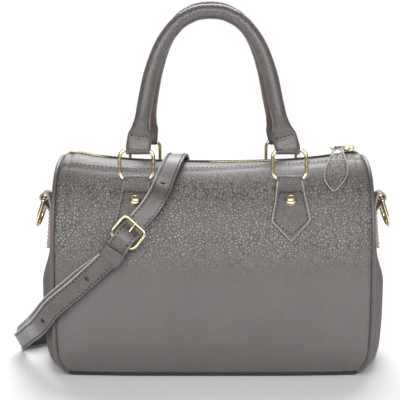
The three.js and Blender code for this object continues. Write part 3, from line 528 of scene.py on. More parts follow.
def stitch_parts(line, normals, pitch=3.2, length=2.2, radius=0.45, lift=0.1):
    """Stitches along a line of points, each a small spindle that dips into the leather at its ends."""
    gone = distances(line)
    count = max(int(gone[-1] / pitch), 1)
    spacing = gone[-1] / count
    angles = 2 * math.pi * np.arange(6) / 6
    parts = []
    for k in range(count):
        middle = (k + 0.5) * spacing
        at = [np.array([np.interp(middle + d, gone, line[:, a]) for a in range(3)]) for d in (-0.3, 0, 0.3)]
        normal = unit(np.array([np.interp(middle, gone, normals[:, a]) for a in range(3)]))
        tangent = unit(at[2] - at[0])
        side = np.cross(normal, tangent)
        rings = [
            at[1] + tangent * share * length + normal * (lift + dip * radius)
            + radius * size * (np.outer(np.cos(angles), side) + np.outer(np.sin(angles), normal))
            for share, size, dip in stitch_rows
        ]
        parts.append(loft(rings, round_caps=True))
    return parts


# Materials


def tone(red, green, blue):
    """A colour of the picture, as light."""
    return tuple(((c / 255 + 0.055) / 1.055) ** 2.4 for c in (red, green, blue)) + (1,)


def scaled(colour, share):
    return tuple(min(share * c, 1) for c in colour[:3]) + (1,)


def node_adder(tree):
    """A function that adds a node to the tree and links or sets its inputs."""

    def add(kind, values=None, **settings):
        node = tree.nodes.new(kind)
        for key, value in settings.items():
            setattr(node, key, value)
        for key, value in (values or {}).items():
            if isinstance(value, bpy.types.NodeSocket):
                tree.links.new(value, node.inputs[key])
            else:
                node.inputs[key].default_value = value
        return node

    return add


def new_material(name):
    material = bpy.data.materials.new(name)
    material.use_nodes = True
    tree = material.node_tree
    shader = tree.nodes["Principled BSDF"]

    def connect(value, key):
        tree.links.new(value, shader.inputs[key])

    return material, shader, node_adder(tree), connect


def add_math(add, operation, first, second=0.0, third=0.0):
    return add("ShaderNodeMath", {0: first, 1: second, 2: third}, operation=operation).outputs[0]


def mapped(add, value, low, high, out_low, out_high):
    values = {"Value": value, "From Min": low, "From Max": high, "To Min": out_low, "To Max": out_high}
    return add("ShaderNodeMapRange", values, interpolation_type="SMOOTHSTEP").outputs["Result"]


def mixed(add, factor, first, second):
    node = add("ShaderNodeMix", {"Factor": factor}, data_type="RGBA")
    for socket, value in ((node.inputs[6], first), (node.inputs[7], second)):
        if isinstance(value, bpy.types.NodeSocket):
            node.id_data.links.new(value, socket)
        else:
            socket.default_value = value
    return node.outputs[2]


def noise(add, place, scale, detail, output="Fac"):
    return add("ShaderNodeTexNoise", {"Vector": place, "Scale": scale, "Detail": detail}).outputs[output]


def connect_bump(add, connect, height, strength, distance):
    bump = add("ShaderNodeBump", {"Height": height, "Strength": strength, "Distance": distance})
    connect(bump.outputs["Normal"], "Normal")


def leather_material(
    name, colour, pebble=2.3, relief=0.6, smooth_low=False, roughness=0.32, gloss=0.6, top_light=2.3
):
    """
    Pebbled leather: rounded grains between fine creases, with soft large variation, and painted shade
    that darkens the creases in the base colour. With smooth_low the grain and the painted crease shade
    fade towards the foot and the top edge of the bag, and the tops of the grains get a painted
    highlight: they are lighter in colour between them.
    """
    material, shader, add, connect = new_material(name)
    place = add("ShaderNodeTexCoord").outputs["Object"]
    warp = noise(add, place, 160.0, 0.0, "Color")
    shift = add("ShaderNodeVectorMath", {0: warp, 1: (0.5, 0.5, 0.5)}, operation="SUBTRACT").outputs[0]
    shift = add("ShaderNodeVectorMath", {0: shift, "Scale": 0.002}, operation="SCALE").outputs[0]
    bent = add("ShaderNodeVectorMath", {0: place, 1: shift}, operation="ADD").outputs[0]
    grain_scale = 1000 / pebble
    edges = add("ShaderNodeTexVoronoi", {"Vector": bent, "Scale": grain_scale}, feature="DISTANCE_TO_EDGE")
    fine_edges = add("ShaderNodeTexVoronoi", {"Vector": bent, "Scale": grain_scale * 2.3},
                     feature="DISTANCE_TO_EDGE")
    grains = mapped(add, edges.outputs["Distance"], 0.0, 0.5, 0.0, 1.0)
    small_grains = mapped(add, fine_edges.outputs["Distance"], 0.0, 0.3, 0.0, 1.0)
    pores = noise(add, place, 2600.0, 2.0)
    soft = noise(add, place, 30.0, 3.0)
    height = add_math(add, "MULTIPLY_ADD", small_grains, 0.14, grains)
    height = add_math(add, "MULTIPLY_ADD", pores, 0.02, height)
    height = add_math(add, "MULTIPLY_ADD", soft, 0.8, height)
    strength = mapped(add, soft, 0.35, 0.65, 0.75, 1.0)
    # Painted shade: the creases between the grains darken the base colour, down to 0.42 of it.
    painted_crease_shade = mapped(add, edges.outputs["Distance"], 0.0, 0.16, 0.0, 1.0)
    if smooth_low:
        level = add("ShaderNodeSeparateXYZ", {0: place}).outputs["Z"]
        low = mapped(add, level, 0.075, 0.115, 0.1, 1.0)
        amount = add_math(add, "MULTIPLY", low, mapped(add, level, 0.150, 0.166, 1.0, 0.3))
        strength = add_math(add, "MULTIPLY", strength, amount)
        depth = add_math(add, "MULTIPLY", amount, add_math(add, "SUBTRACT", 1.0, painted_crease_shade))
        painted_crease_shade = add_math(add, "SUBTRACT", 1.0, depth)
    connect_bump(add, connect, height, strength, relief * MILLIMETRE)
    body = mixed(add, mapped(add, soft, 0.3, 0.7, 0.0, 1.0), colour, scaled(colour, 1.08))
    # Painted highlight: the grain tops are lighter in colour, by top_light, in a band of height up the bag,
    # standing in for glints.
    if smooth_low:
        painted_glints = mapped(add, edges.outputs["Distance"], 0.06, 0.3, 0.0, 1.0)
        lit = mapped(add, level, 0.09, 0.118, 0.25, 1.0)
        lit = add_math(add, "MULTIPLY", lit, mapped(add, level, 0.134, 0.15, 1.0, 0.6))
        painted_glints = add_math(add, "MULTIPLY", add_math(add, "MULTIPLY", painted_glints, amount), lit)
        body = mixed(add, painted_glints, body, scaled(colour, top_light))
    # The painted crease shade is mixed into the base colour here.
    connect(mixed(add, painted_crease_shade, scaled(colour, 0.42), body), "Base Color")
    connect(mapped(add, pores, 0.3, 0.7, roughness - 0.06, roughness + 0.08), "Roughness")
    shader.inputs["Specular IOR Level"].default_value = gloss
    if smooth_low:
        connect(mapped(add, level, 0.142, 0.162, gloss, 0.35 * gloss), "Specular IOR Level")
    return material


def edge_material(name, colour):
    material, shader, add, connect = new_material(name)
    place = add("ShaderNodeTexCoord").outputs["Object"]
    grain = noise(add, place, 900.0, 3.0)
    connect(mixed(add, mapped(add, grain, 0.35, 0.65, 0.0, 1.0), scaled(colour, 0.72), colour), "Base Color")
    connect_bump(add, connect, grain, 0.5, 0.0001)
    shader.inputs["Roughness"].default_value = 0.5
    return material


def metal_material(name, colour, roughness=0.16):
    material, shader, add, connect = new_material(name)
    place = add("ShaderNodeTexCoord").outputs["Object"]
    wear = noise(add, place, 500.0, 4.0)
    connect(mixed(add, wear, scaled(colour, 0.88), colour), "Base Color")
    connect(mapped(add, wear, 0.3, 0.7, roughness - 0.04, roughness + 0.08), "Roughness")
    shader.inputs["Metallic"].default_value = 1.0
    return material


def cloth_material(name, colour, pitch=0.5):
    """A fine twill weave."""
    material, shader, add, connect = new_material(name)
    place = add("ShaderNodeTexCoord").outputs["Object"]
    scale = 1000 / pitch / 6.28
    ribs = [
        add("ShaderNodeTexWave", {"Vector": place, "Scale": scale}, bands_direction=axis).outputs["Fac"]
        for axis in ("X", "DIAGONAL")
    ]
    weave = add_math(add, "MULTIPLY", ribs[0], ribs[1])
    connect_bump(add, connect, weave, 0.8, 0.00015)
    connect(mixed(add, weave, scaled(colour, 0.6), colour), "Base Color")
    shader.inputs["Roughness"].default_value = 0.9
    return material


# The two body leathers carry a painted highlight on their grain tops (top_light); every leather carries
# painted shade in its creases.
body_leather = leather_material("pebbled_leather", tone(98, 94, 92), smooth_low=True)
side_leather = leather_material(
    "side_leather", tone(98, 93, 91), relief=0.4, smooth_low=True, roughness=0.65, gloss=0.2, top_light=1.3
)
trim_leather = leather_material("trim_leather", tone(100, 95, 93), pebble=2.1, relief=0.4)
handle_leather = leather_material("handle_leather", tone(98, 92, 90), pebble=1.5, relief=0.08)
smooth_leather = leather_material("smooth_leather", tone(100, 94, 92), pebble=1.3, relief=0.09)
tan_edge = edge_material("tan_edge", tone(196, 176, 167))
# The base's leather is darker than the body's: painted shade along the foot of the bag.
base_painted_shade_leather = leather_material(
    "base_painted_shade_leather", tone(66, 62, 61), pebble=1.3, relief=0.09, roughness=0.6, gloss=0.2
)
# Colour of the painted highlight line along the strap's edge.
highlight_edge_colour = edge_material("highlight_edge_colour", tone(204, 198, 196))
brown_edge = edge_material("brown_edge", tone(150, 122, 108))
pale_edge = edge_material("painted_edge", tone(146, 140, 137))
thread = edge_material("thread", tone(42, 37, 40))
grey_thread = edge_material("grey_thread", tone(78, 74, 73))
gold = metal_material("pale_gold", tone(238, 222, 180), roughness=0.18)
zip_cloth = cloth_material("zip_cloth", tone(70, 62, 58))


def add_metal(node, parts, body="bag"):
    add_piece(f"{node}_metal", parts, [gold], [node], body)


def add_leather(node, parts, *materials):
    return add_piece(f"{node}_leather", parts, materials, [node])


# Body panels


def row_ways(count):
    share = np.linspace(0, 1, count)
    return 0.45 * share + 0.55 * (1 - np.cos(math.pi * share)) / 2


seam_gap = piping_radius + clearance
seam_tuck = 1.0

# Edge turned at the zip: height and reach of its rows, and how far and how wide the front's is lowered
turned_edge = [(-0.2, 0.4), (-0.9, 0.65), (-1.6, 0.4)]
hem_drop = 1.3
hem_reach = 2.5
facing_stitch_inset = 3.2


def panel_half_length(ways):
    step = 0.01
    run = seam_point(1, 1, np.minimum(ways + step, 1)) - seam_point(1, 1, np.maximum(ways - step, 0))
    slope = np.linalg.norm(run, axis=-1) / np.hypot(run[..., 1], run[..., 2])
    return seam_point(1, 1, ways)[..., 0] - (seam_gap - seam_tuck) * slope


facing_edge = column_curve(facing_rows, 1)


def panel_relief(x, way, half, from_zip):
    """Height of the sewn facing's edge, of the pull of the end seams and of soft dents over the skin."""
    past_edge = from_zip - facing_edge(x / half_length)
    facing = 0.2 - 0.75 * soft_step(-0.5, 0.9, past_edge) + 0.45 * soft_step(1.5, 9, past_edge)
    from_seam = half - np.abs(x)
    upper = soft_step(0.45, 0.8, way)
    seam = -(0.35 + 0.75 * upper) * np.exp(-((from_seam - 7.5) / 2.2) ** 2)
    edge = -0.15 * np.exp(-from_seam / 1.5)
    dents = 0.35 * np.sin(x / 23 + 1.3) * np.sin(way * 9 + x / 61) - 0.35
    dents *= soft_step(0.05, 0.2, way) * soft_step(0.98, 0.8, way)
    return facing + seam + edge + dents


def body_panel(face):
    ways = row_ways(84)
    half = panel_half_length(ways)
    gone = distances(body_point(1, 0, ways))
    from_zip = gone[-1] - gone
    turn = 0.42 * math.pi
    lower = hem_drop * np.exp(-from_zip / hem_reach) if face < 0 else 0
    rings = []
    for share in np.linspace(-1, 1, 130):
        x = half * math.sin(turn * share) / math.sin(turn)
        outer = skin(face, x, ways, panel_relief(x, ways, half, from_zip) - lower)
        inner = skin(face, x, ways, -leather_wall)
        toward = unit(outer[-1] - outer[-3])
        top = [skin(face, x[-1], 1, height) + toward * out for height, out in turned_edge]
        rings.append(np.concatenate([outer, top, inner[::-1]]))
    # Painted shade: the turned edge at the zip takes the dark zip cloth's colour, for the shaded gap along
    # the zip.
    paint = np.zeros(len(rings[0]), int)
    paint[len(ways):len(ways) + len(turned_edge)] = 1
    return loft(np.array(rings), paint=paint)


for face_name, face in faces:
    # The zip cloth here also colours the panel's turned edge, as painted shade.
    add_leather(f"{face_name}_panel", [body_panel(face)], body_leather, zip_cloth)


def facing_stitches(face):
    xs = np.linspace(-116, 116, 90)
    ways = np.array([way_from_zip(face, x, facing_edge(x / half_length)) for x in xs])
    lower = np.array([
        way_from_zip(face, x, facing_edge(x / half_length) - facing_stitch_inset) for x in xs
    ])
    line = skin(face, xs, lower, 0.12)
    return stitch_parts(line, body_normal(face, xs, ways), pitch=3.4, length=2.3, radius=0.24)


for face_name, face in faces:
    add_piece(f"{face_name}_facing_stitches", facing_stitches(face), [grey_thread])


# End panels and their piping


def seam_section(way, inset):
    step = 0.01
    run = seam_point(1, 1, np.minimum(way + step, 1)) - seam_point(1, 1, np.maximum(way - step, 0))
    size = np.hypot(run[..., 1], run[..., 2])
    seam = seam_point(1, 1, way)
    return seam[..., 0], seam[..., 1] - inset * run[..., 2] / size, seam[..., 2] + inset * run[..., 1] / size


piping_low = base_rise + piping_radius


def gusset_low():
    ways = np.arange(0, 0.3, 0.001)
    return float(ways[np.argmax(seam_section(ways, seam_gap)[2] >= piping_low + seam_gap)])


gusset_low_way = gusset_low()


def gusset_point(end, way, side):
    seam_x, seam_y, seam_z = seam_section(way, seam_gap - seam_tuck)
    middle = half_length + gusset_bulge * bulge_share(section_way(way))
    x = end * (seam_x + (middle - seam_x) * (1 - side ** 2))
    return np.stack([x, side * seam_y, seam_z + 0 * side], -1)


def gusset_skin(end, way, side, height):
    step = 0.02
    way, side, height = np.broadcast_arrays(*(np.asarray(v, float) for v in (way, side, height)))
    up_skin = gusset_point(end, np.minimum(way + step, 1), side)
    up_skin = up_skin - gusset_point(end, np.maximum(way - step, gusset_low_way), side)
    across_skin = gusset_point(end, way, np.minimum(side + step, 1))
    across_skin = across_skin - gusset_point(end, way, np.maximum(side - step, -1))
    normal = unit(end * np.cross(across_skin, up_skin))
    return gusset_point(end, way, side) + normal * height[..., None]


def end_panel(end):
    ways = gusset_low_way + (1 - gusset_low_way) * row_ways(80)
    rings = []
    for side in np.linspace(-1, 1, 60):
        dents = 0.5 * np.sin(side * 5 + end) * np.sin(ways * 8) - 0.5
        dents = dents * (1 - side ** 8) * soft_step(0.0, 0.1, ways - gusset_low_way)
        outer = gusset_skin(end, ways, side, dents)
        inner = gusset_skin(end, ways, side, -leather_wall)
        rings.append(np.concatenate([outer, inner[::-1]]))
    return loft(np.array(rings))


def piping_path(end):
    ways = row_ways(110)
    front = seam_point(end, -1, ways)
    back = seam_point(end, 1, ways)[::-1]
    for line in (front, back):
        line[:, 2] = np.maximum(line[:, 2], piping_low)
    top = front[-1] + (back[0] - front[-1]) * np.linspace(0, 1, 8)[1:-1, None]
    corner = seam_point(1, 1, 0)
    side = np.linspace(1, -1, 60)[1:-1]
    middle = half_length + gusset_bulge * bulge_share(0)
    bottom = np.stack([
        end * (corner[0] + (middle - corner[0]) * (1 - side ** 2)),
        side * corner[1],
        np.full(len(side), piping_low),
    ], -1)
    return np.concatenate([front, top, back, bottom])


for side_name, end in sides:
    add_leather(f"gusset_{side_name}", [end_panel(end)], side_leather)
    add_leather(f"piping_{side_name}", [wire(piping_path(end), piping_radius, 12, loop=True)], smooth_leather)


# Base


def base_outline():
    corner = seam_point(1, 1, 0)
    middle = half_length + gusset_bulge * bulge_share(0)
    points = []
    for face in (-1, 1):
        across = np.linspace(-1, 1, 60)[:-1]
        run = body_point(face, -face * corner[0] * across, 0)
        run[:, 2] = 0
        points.append(run)
        side = face * (1 - 2 * np.linspace(0, 1, 40)[:-1])
        x = corner[0] + (middle - corner[0]) * (1 - side ** 2)
        points.append(np.stack([-face * x, side * corner[1], 0 * side], -1))
    return np.concatenate(points)


def base_ring(outline, inset, height):
    run = unit(np.roll(outline, -1, axis=0) - np.roll(outline, 1, axis=0))
    inwards = np.stack([-run[:, 1], run[:, 0], 0 * run[:, 0]], -1)
    inwards *= -np.sign((inwards * outline).sum(axis=1))[:, None]
    ring = outline + inwards * inset
    ring[:, 2] = height
    return ring


def base_body():
    outline = base_outline()
    rim = base_rise - clearance
    turns = np.linspace(0, math.pi / 2, 6)
    curve = [(base_curve * (1 - math.sin(t)), rim * (1 - math.cos(t))) for t in turns]
    inner = [(base_wall, rim), (base_curve + base_wall, base_wall)]
    rings = [base_ring(outline, inset, height) for inset, height in [(0.6 * half_depth, 0)] + curve + inner]
    return loft(rings, round_caps=True)


add_piece("base_painted_shade_leather", [base_body()], [base_painted_shade_leather], ["base_panel"])


# Zip

zip_half = half_length - seam_gap - clearance


def tape_level(x, across):
    """Underside of the leather over the tape."""
    ways = np.linspace(1, 0.75, 60)
    under = skin(1, x, ways, -leather_wall)
    edge = under[0, 2]
    return np.where(across < zip_half_gap, edge, np.interp(across, under[:, 1], under[:, 2])) - clearance


def zip_tape():
    rings = []
    across = np.linspace(-tape_half_width, tape_half_width, 23)
    for x in np.linspace(-zip_half, zip_half, 90):
        top = tape_level(x, np.abs(across))
        upper = np.stack([np.full(len(across), x), across, top], -1)
        lower = upper - [0, 0, tape_thickness]
        rings.append(np.concatenate([upper, lower[::-1]]))
    return loft(np.array(rings))


tooth_lift = column_curve(tooth_rows, 1)


def zip_teeth():
    parts = []
    count = int(2 * zip_half / (tooth_pitch / 2))
    for k in range(count):
        x = -zip_half + 1 + k * tooth_pitch / 2
        if x > zip_half - 1:
            break
        side = 1 if k % 2 else -1
        low = float(tape_level(x, np.array(0.0)))
        high = float(zip_top(x)) + float(tooth_lift(x / zip_half))
        levels = ((low, 1.0, 1.0), (high - 0.5, 1.0, 1.0), (high - 0.12, 0.9, 0.8), (high, 0.7, 0.5))
        rings = []
        for z, wide, deep in levels:
            reach = 1.5 * wide
            half = 0.5 * deep
            middle = side * 0.95
            rings.append([
                (x - half, middle - reach, z),
                (x + half, middle - reach, z),
                (x + half, middle + reach, z),
                (x - half, middle + reach, z),
            ])
        parts.append(loft(rings, round_caps=True))
    return parts


add_piece("zip_tape_cloth", [zip_tape()], [zip_cloth], ["zip_tape"])
add_metal("zip_teeth", zip_teeth())

slider_place = half_length - slider_inset
slider_seat = max(float(zip_top(slider_place + d * slider_length / 2)) for d in (-1, 0, 1)) + 2 * clearance
pull_level = slider_seat + slider_plate + bridge_height / 2
pull_right = slider_place + clearance
pull_front = -pull_forward * pull_loop_width


def zip_slider():
    angles = np.linspace(0, 2 * math.pi, 40, endpoint=False)
    reach = np.abs(np.cos(angles)) ** 0.7 * np.sign(np.cos(angles))
    width = np.abs(np.sin(angles)) ** 0.7 * np.sign(np.sin(angles)) * (1 + 0.16 * np.cos(angles))
    rings = []
    for height, inset in ((0, 0.4), (0.3, 0.0), (slider_plate - 0.3, 0.0), (slider_plate, 0.4)):
        rings.append(np.stack([
            slider_place + reach * (slider_length / 2 - inset),
            width * (slider_width / 2.35 - inset),
            np.full(40, slider_seat + height),
        ], -1))
    turns = np.linspace(0, math.pi, 25)
    lift = slider_plate + bridge_height + slider_plate / 2
    arch = [
        (slider_place - 4.3 * math.copysign(abs(math.cos(t)) ** 0.4, math.cos(t)), 0,
         slider_seat + 0.6 + (lift - 0.6) * math.sin(t) ** 0.4)
        for t in turns
    ]
    rings_arch = []
    arch = np.array(arch)
    tangents = unit(np.gradient(arch, axis=0))
    across, height, _ = strip_section(bridge_width / 2, -slider_plate / 2, slider_plate)
    for point, tangent in zip(arch, tangents):
        out = np.cross(tangent, [0, 1, 0])
        rings_arch.append(point + np.outer(across, [0, 1, 0]) + np.outer(height, out))
    return [loft(rings, round_caps=True), loft(np.array(rings_arch), round_caps=True)]


def pull_loop():
    corner_points = rounded_rectangle(pull_loop_length, pull_loop_width, pull_loop_corner)
    points = [
        (pull_right - pull_loop_length / 2 + x, pull_front + pull_loop_width / 2 + y, pull_level)
        for x, y in corner_points
    ]
    return wire(points, pull_wire, 12, loop=True)


add_metal("zip_slider", zip_slider())
add_metal("zip_pull_loop", [pull_loop()])

leaf_wide = column_curve(leaf_rows, 1)
leaf_lift = column_curve(leaf_rows, 2)
leaf_top = pull_right - pull_loop_length / 2 - leaf_slip
leaf_loop_radius = pull_wire + clearance + leaf_thickness / 2
leaf_reach = leaf_length - leaf_loop_radius


def leaf_height(share):
    start = pull_level - float(zip_top(leaf_top)) - leaf_thickness / 2
    return clearance + max(start - clearance, 0) * float(leaf_lift(share))


def leaf_points(share, across, height):
    x = leaf_top - leaf_drift * share * leaf_reach
    way = way_from_zip(-1, x, share * leaf_reach)
    return skin(-1, x + across, way, height)


def pull_leaf():
    rings = []
    for share in 1 - (1 - np.linspace(0, 1, 60)) ** 1.3:
        half = leaf_half_width * float(leaf_wide(share))
        across, height, paint = strip_section(half, leaf_height(share), leaf_thickness, 6, 0.3)
        rings.append(leaf_points(share, across, height))
    fold = roller((leaf_top, pull_front, pull_level), (1, 0, 0), leaf_loop_radius, leaf_half_fold)
    return [loft(np.array(rings), paint=paint), fold]


def leaf_stitches():
    lines = []
    for side in (-1, 1):
        shares = np.linspace(0.30, 0.93, 50)
        line = []
        for share in shares:
            half = leaf_half_width * float(leaf_wide(share)) - 1.7
            line.append(leaf_points(share, side * half, leaf_height(share) + leaf_thickness))
        line = np.array(line)
        normals = np.array([
            body_normal(-1, leaf_top, way_from_zip(-1, leaf_top, share * leaf_reach)) for share in shares
        ])
        lines += stitch_parts(line, normals, pitch=2.6, length=1.7, radius=0.3, lift=0.08)
    return lines


def leaf_stud():
    share = 0.25
    height = leaf_height(share) + leaf_thickness
    at = leaf_points(share, 0.0, height)
    way = way_from_zip(-1, leaf_top, share * leaf_reach)
    return lathe(stud_rows, at, body_normal(-1, leaf_top, way))


add_leather("pull_leaf", pull_leaf(), trim_leather, tan_edge)
add_piece("pull_leaf_stitches", leaf_stitches(), [thread])
add_metal("pull_stud", [leaf_stud()])


# Rings, tabs and rivets

bar_offset = clearance + tab_loop_leather + clearance + ring_wire
ring_span = ring_height - 2 * ring_wire


def lower_bar(face, side):
    return skin(face, side * ring_place, tab_loop_up, bar_offset)


def handle_up(handle):
    return unit(np.array([0, -handle["face"] * handle["lean"], handle["height"]], float))


def ring_points(handle, side):
    up = handle_up(handle)
    centre = lower_bar(handle["face"], side) + up * ring_span / 2
    outline = rounded_rectangle(ring_width - 2 * ring_wire, ring_span, ring_corner - ring_wire)
    return centre + np.outer(outline[:, 0], [1, 0, 0]) + np.outer(outline[:, 1], up)


tab_wide = column_curve(tab_rows, 1)


def tab_half(up):
    past = max(0, (tab_shoulder_up - up) / (tab_shoulder_up - tab_tip_up))
    flared = tab_half_width + (tab_flare - tab_half_width) * float(tab_wide(up))
    return max(flared * (1 - past), tab_tip_half)


def tab_thick(up):
    """Above its cross seam the tab thins to one layer, then rises to go round the ring."""
    thinner = 0.35 * float(soft_step(tab_seam_up - 0.004, tab_seam_up + 0.006, up))
    rise = max(0, up - tab_seam_up - 0.004) / (tab_loop_up - tab_seam_up - 0.004)
    crown = bar_offset + ring_wire + clearance + tab_loop_leather - clearance - tab_thickness
    return tab_thickness - thinner + crown * min(rise, 1) ** 1.6


def handle_tab(handle, side):
    face = handle["face"]
    rings = []
    ups = np.unique(np.concatenate([np.linspace(tab_tip_up, tab_shoulder_up, 22),
                                    np.linspace(tab_shoulder_up, tab_loop_up, 44)]))
    for up in ups:
        across, height, paint = strip_section(tab_half(up), clearance, tab_thick(up), 8, 0.3)
        rings.append(skin(face, side * ring_place + across, up, height))
    loop_radius = ring_wire + clearance + tab_loop_leather
    fold = roller(lower_bar(face, side), (1, 0, 0), loop_radius, tab_half_width)
    return [loft(np.array(rings), paint=paint), fold]


def tab_stitches(handle, side):
    face = handle["face"]
    centre = side * ring_place
    inset = 2.4
    parts = []
    height = clearance + tab_thickness

    def line(ups, offsets):
        points = skin(face, centre + np.array(offsets), np.array(ups), height)
        return stitch_parts(points, body_normal(face, centre + np.array(offsets), np.array(ups)), pitch=2.9,
                            length=2.1, radius=0.42, lift=0.12)

    tip_inset = inset * 1.9 / (tab_flare - tab_tip_half) * (tab_shoulder_up - tab_tip_up)
    for edge in (-1, 1):
        ups = np.linspace(tab_seam_up, tab_shoulder_up, 24)
        parts += line(ups, [edge * (tab_half(up) - inset) for up in ups])
        lower = np.linspace(tab_shoulder_up, tab_tip_up + tip_inset, 24)
        parts += line(lower, edge * (tab_flare - inset) * np.linspace(1, 0, 24))
    half = tab_half(tab_seam_up) - inset
    parts += line(np.full(12, tab_seam_up), np.linspace(-half, half, 12))
    return parts


def tab_rivet(handle, side):
    face = handle["face"]
    x = side * ring_place
    at = skin(face, x, tab_rivet_up, clearance + tab_thickness)
    profile = [(rivet_radius, 0), (rivet_radius, 0.3), (rivet_radius - 0.25, 0.5)]
    ball = rivet_radius - 0.35
    profile += [(ball * math.cos(t), 0.5 + 3.4 * math.sin(t)) for t in np.linspace(0.05, math.pi / 2, 16)]
    return lathe(profile, at, body_normal(face, x, tab_rivet_up), 40)


handles = (front_handle, back_handle)
for handle in handles:
    for side_name, side in sides:
        place = f"{handle['name']}_{side_name}"
        add_metal(f"ring_{place}", [wire(ring_points(handle, side), ring_wire, 16, loop=True)])
        # The tab under the strap has its edge in the strap's greyer edge colour, not tan.
        tab_edge = pale_edge if place == "front_left" else tan_edge
        add_leather(f"tab_{place}", handle_tab(handle, side), trim_leather, tab_edge)
        add_piece(f"tab_{place}_stitches", tab_stitches(handle, side), [thread])
        add_metal(f"rivet_{place}", [tab_rivet(handle, side)])


# Handles

handle_half = column_curve(handle_rows, 1)


def handle_line(handle):
    """Centre line from the left bar over the arch to the right bar."""
    up = handle_up(handle)
    bars = lower_bar(handle["face"], 1) + up * ring_span
    span = ring_place - handle_end_inset
    angles = np.linspace(0, math.pi, 401)
    rise = np.sin(angles)
    top_rise, top_half = handle_rows[-1]
    over = top_half * np.sqrt(np.maximum(1 - rise, 0) / (1 - top_rise))
    half = np.where(rise > top_rise, over, handle_half(rise))
    shift = handle["shift"] * np.sin(math.pi / 2 * np.minimum(1, 2.5 * rise))
    x = -np.sign(np.cos(angles)) * span * half + shift
    start = np.array([0, bars[1], bars[2]])
    return start + np.outer(x, [1, 0, 0]) + np.outer(rise * handle["height"], up), up, start


end_wide = column_curve(handle_end_rows, 1)
end_thick = column_curve(handle_end_rows, 2)
end_round = column_curve(handle_end_rows, 3)


def handle_sections(handle):
    """Centre, across, half width, thickness, roundness and height over the bar of each section."""
    line, up, start = handle_line(handle)
    through = np.cross([1, 0, 0], up)
    below = [line[0] + up * d for d in (-3.88, -3.6, -3.0, -2.0, -1.0)]
    above = [line[-1] + up * d for d in (-1.0, -2.0, -3.0, -3.6, -3.88)]
    line = np.concatenate([below, smoothed(resampled(line, 230)), above])
    tangents = unit(np.gradient(line, axis=0))
    tangents[:6] = up
    tangents[-6:] = -up
    sections = []
    for point, tangent in zip(line, tangents):
        rise = float((point - start) @ up)
        share = rise / handle_flat_length
        across = unit(np.cross(tangent, through))
        to_roll = soft_step(1.6 * handle_flat_length, handle_roll_start * handle["height"], rise)
        wide = handle_end_half_width * float(end_wide(share)) * (1 - to_roll) + handle_roll * to_roll
        thick = flat_thickness * float(end_thick(share)) * (1 - to_roll) + handle_roll * to_roll
        roundness = float(end_round(share)) * (1 - to_roll) + to_roll
        sections.append((point, across, through, wide, thick, roundness, rise))
    return sections


def rolled_handle(handle):
    rings = []
    angles = 2 * math.pi * (np.arange(36) + 0.5) / 36
    for k, (point, across, through, wide, thick, roundness, rise) in enumerate(handle_sections(handle)):
        shape_a = np.sign(np.cos(angles)) * np.abs(np.cos(angles)) ** roundness
        shape_b = np.sign(np.sin(angles)) * np.abs(np.sin(angles)) ** roundness
        arch = float(soft_step(0.80, 0.97, rise / handle["height"]))
        wrinkle = 0.3 * arch * (math.sin(k * 2.1) + 0.6 * math.sin(k * 0.83 + 1)) * np.abs(np.sin(angles))
        size = 1 + (wrinkle - 0.02) / handle_roll
        sideways = np.outer(wide * shape_a * size, across)
        rings.append(point + sideways + np.outer(thick * shape_b * size, through))
    return loft(np.array(rings), round_caps=True)


def handle_stitches(handle):
    """The cross seam that closes each end round its ring, front and back."""
    parts = []
    sections = handle_sections(handle)
    for picked in (sections[: len(sections) // 2], sections[len(sections) // 2:]):
        nearest = min(picked, key=lambda section: abs(section[6] - 0.9 * handle_flat_length))
        point, across, through, wide, thick, _, _ = nearest
        for outward in (-1, 1):
            offsets = np.linspace(-0.8, 0.8, 12) * wide
            line = point + np.outer(offsets, across) + outward * thick * 0.97 * through
            parts += stitch_parts(line, np.tile(outward * through, (12, 1)), pitch=2.7, length=1.9,
                                  radius=0.42, lift=0.25)
    return parts


def handle_seam(handle):
    """The leather's raw edges along the inner side of the roll, and a dark wire sunk between them as painted
    shade in the gap.
    """
    sections = handle_sections(handle)
    middle = len(sections) // 2
    parts = []
    gap_shades = []
    for leg in (sections[:middle], sections[middle:]):
        leg = [s for s in leg if 1.35 * handle_flat_length < s[6] < 0.62 * handle["height"]]
        open_share = np.array([1 - soft_step(0.15, 0.42, s[6] / handle["height"]) for s in leg])
        centres = np.array([s[0] for s in leg])
        inward = np.array([s[1] if s[1][0] * s[0][0] < 0 else -s[1] for s in leg])
        through = leg[0][2]
        wide = np.array([[s[3]] for s in leg])
        spread = (0.3 + 2.0 * open_share)[:, None]
        for side in (-1, 1):
            parts.append(wire(centres + inward * (wide - 0.2) + side * spread * through, 0.45, 8))
        sunk = centres + inward * (wide - 0.75 * spread - 0.15)
        gap_shades.append(wire(sunk, np.maximum(spread[:, 0] * 0.9, 0.2), 12))
    return parts, gap_shades


for handle in handles:
    name = f"handle_{handle['name']}"
    add_leather(name, [rolled_handle(handle)], handle_leather)
    add_piece(f"{name}_stitches", handle_stitches(handle), [thread])
    raw_edges, gap_shades = handle_seam(handle)
    add_piece(f"{name}_raw_edge", raw_edges, [brown_edge])
    # Painted shade: a dark wire standing in for the shaded gap between the raw edges.
    add_piece(f"{name}_seam_gap", gap_shades, [thread])


# D-rings in folded tabs on the end panels


def gusset_middle_at(z):
    ways = np.linspace(gusset_low_way, 1, 600)
    line = gusset_point(1, ways, np.zeros(600))
    return np.interp(z, line[:, 2], line[:, 0])


d_loop_radius = d_loop_hole + d_loop_leather
d_bar_place = float(gusset_middle_at(d_loop_height)) + d_tab_stand_off + d_loop_radius
d_bar_height = d_loop_height - (d_loop_hole - d_ring_wire - clearance)


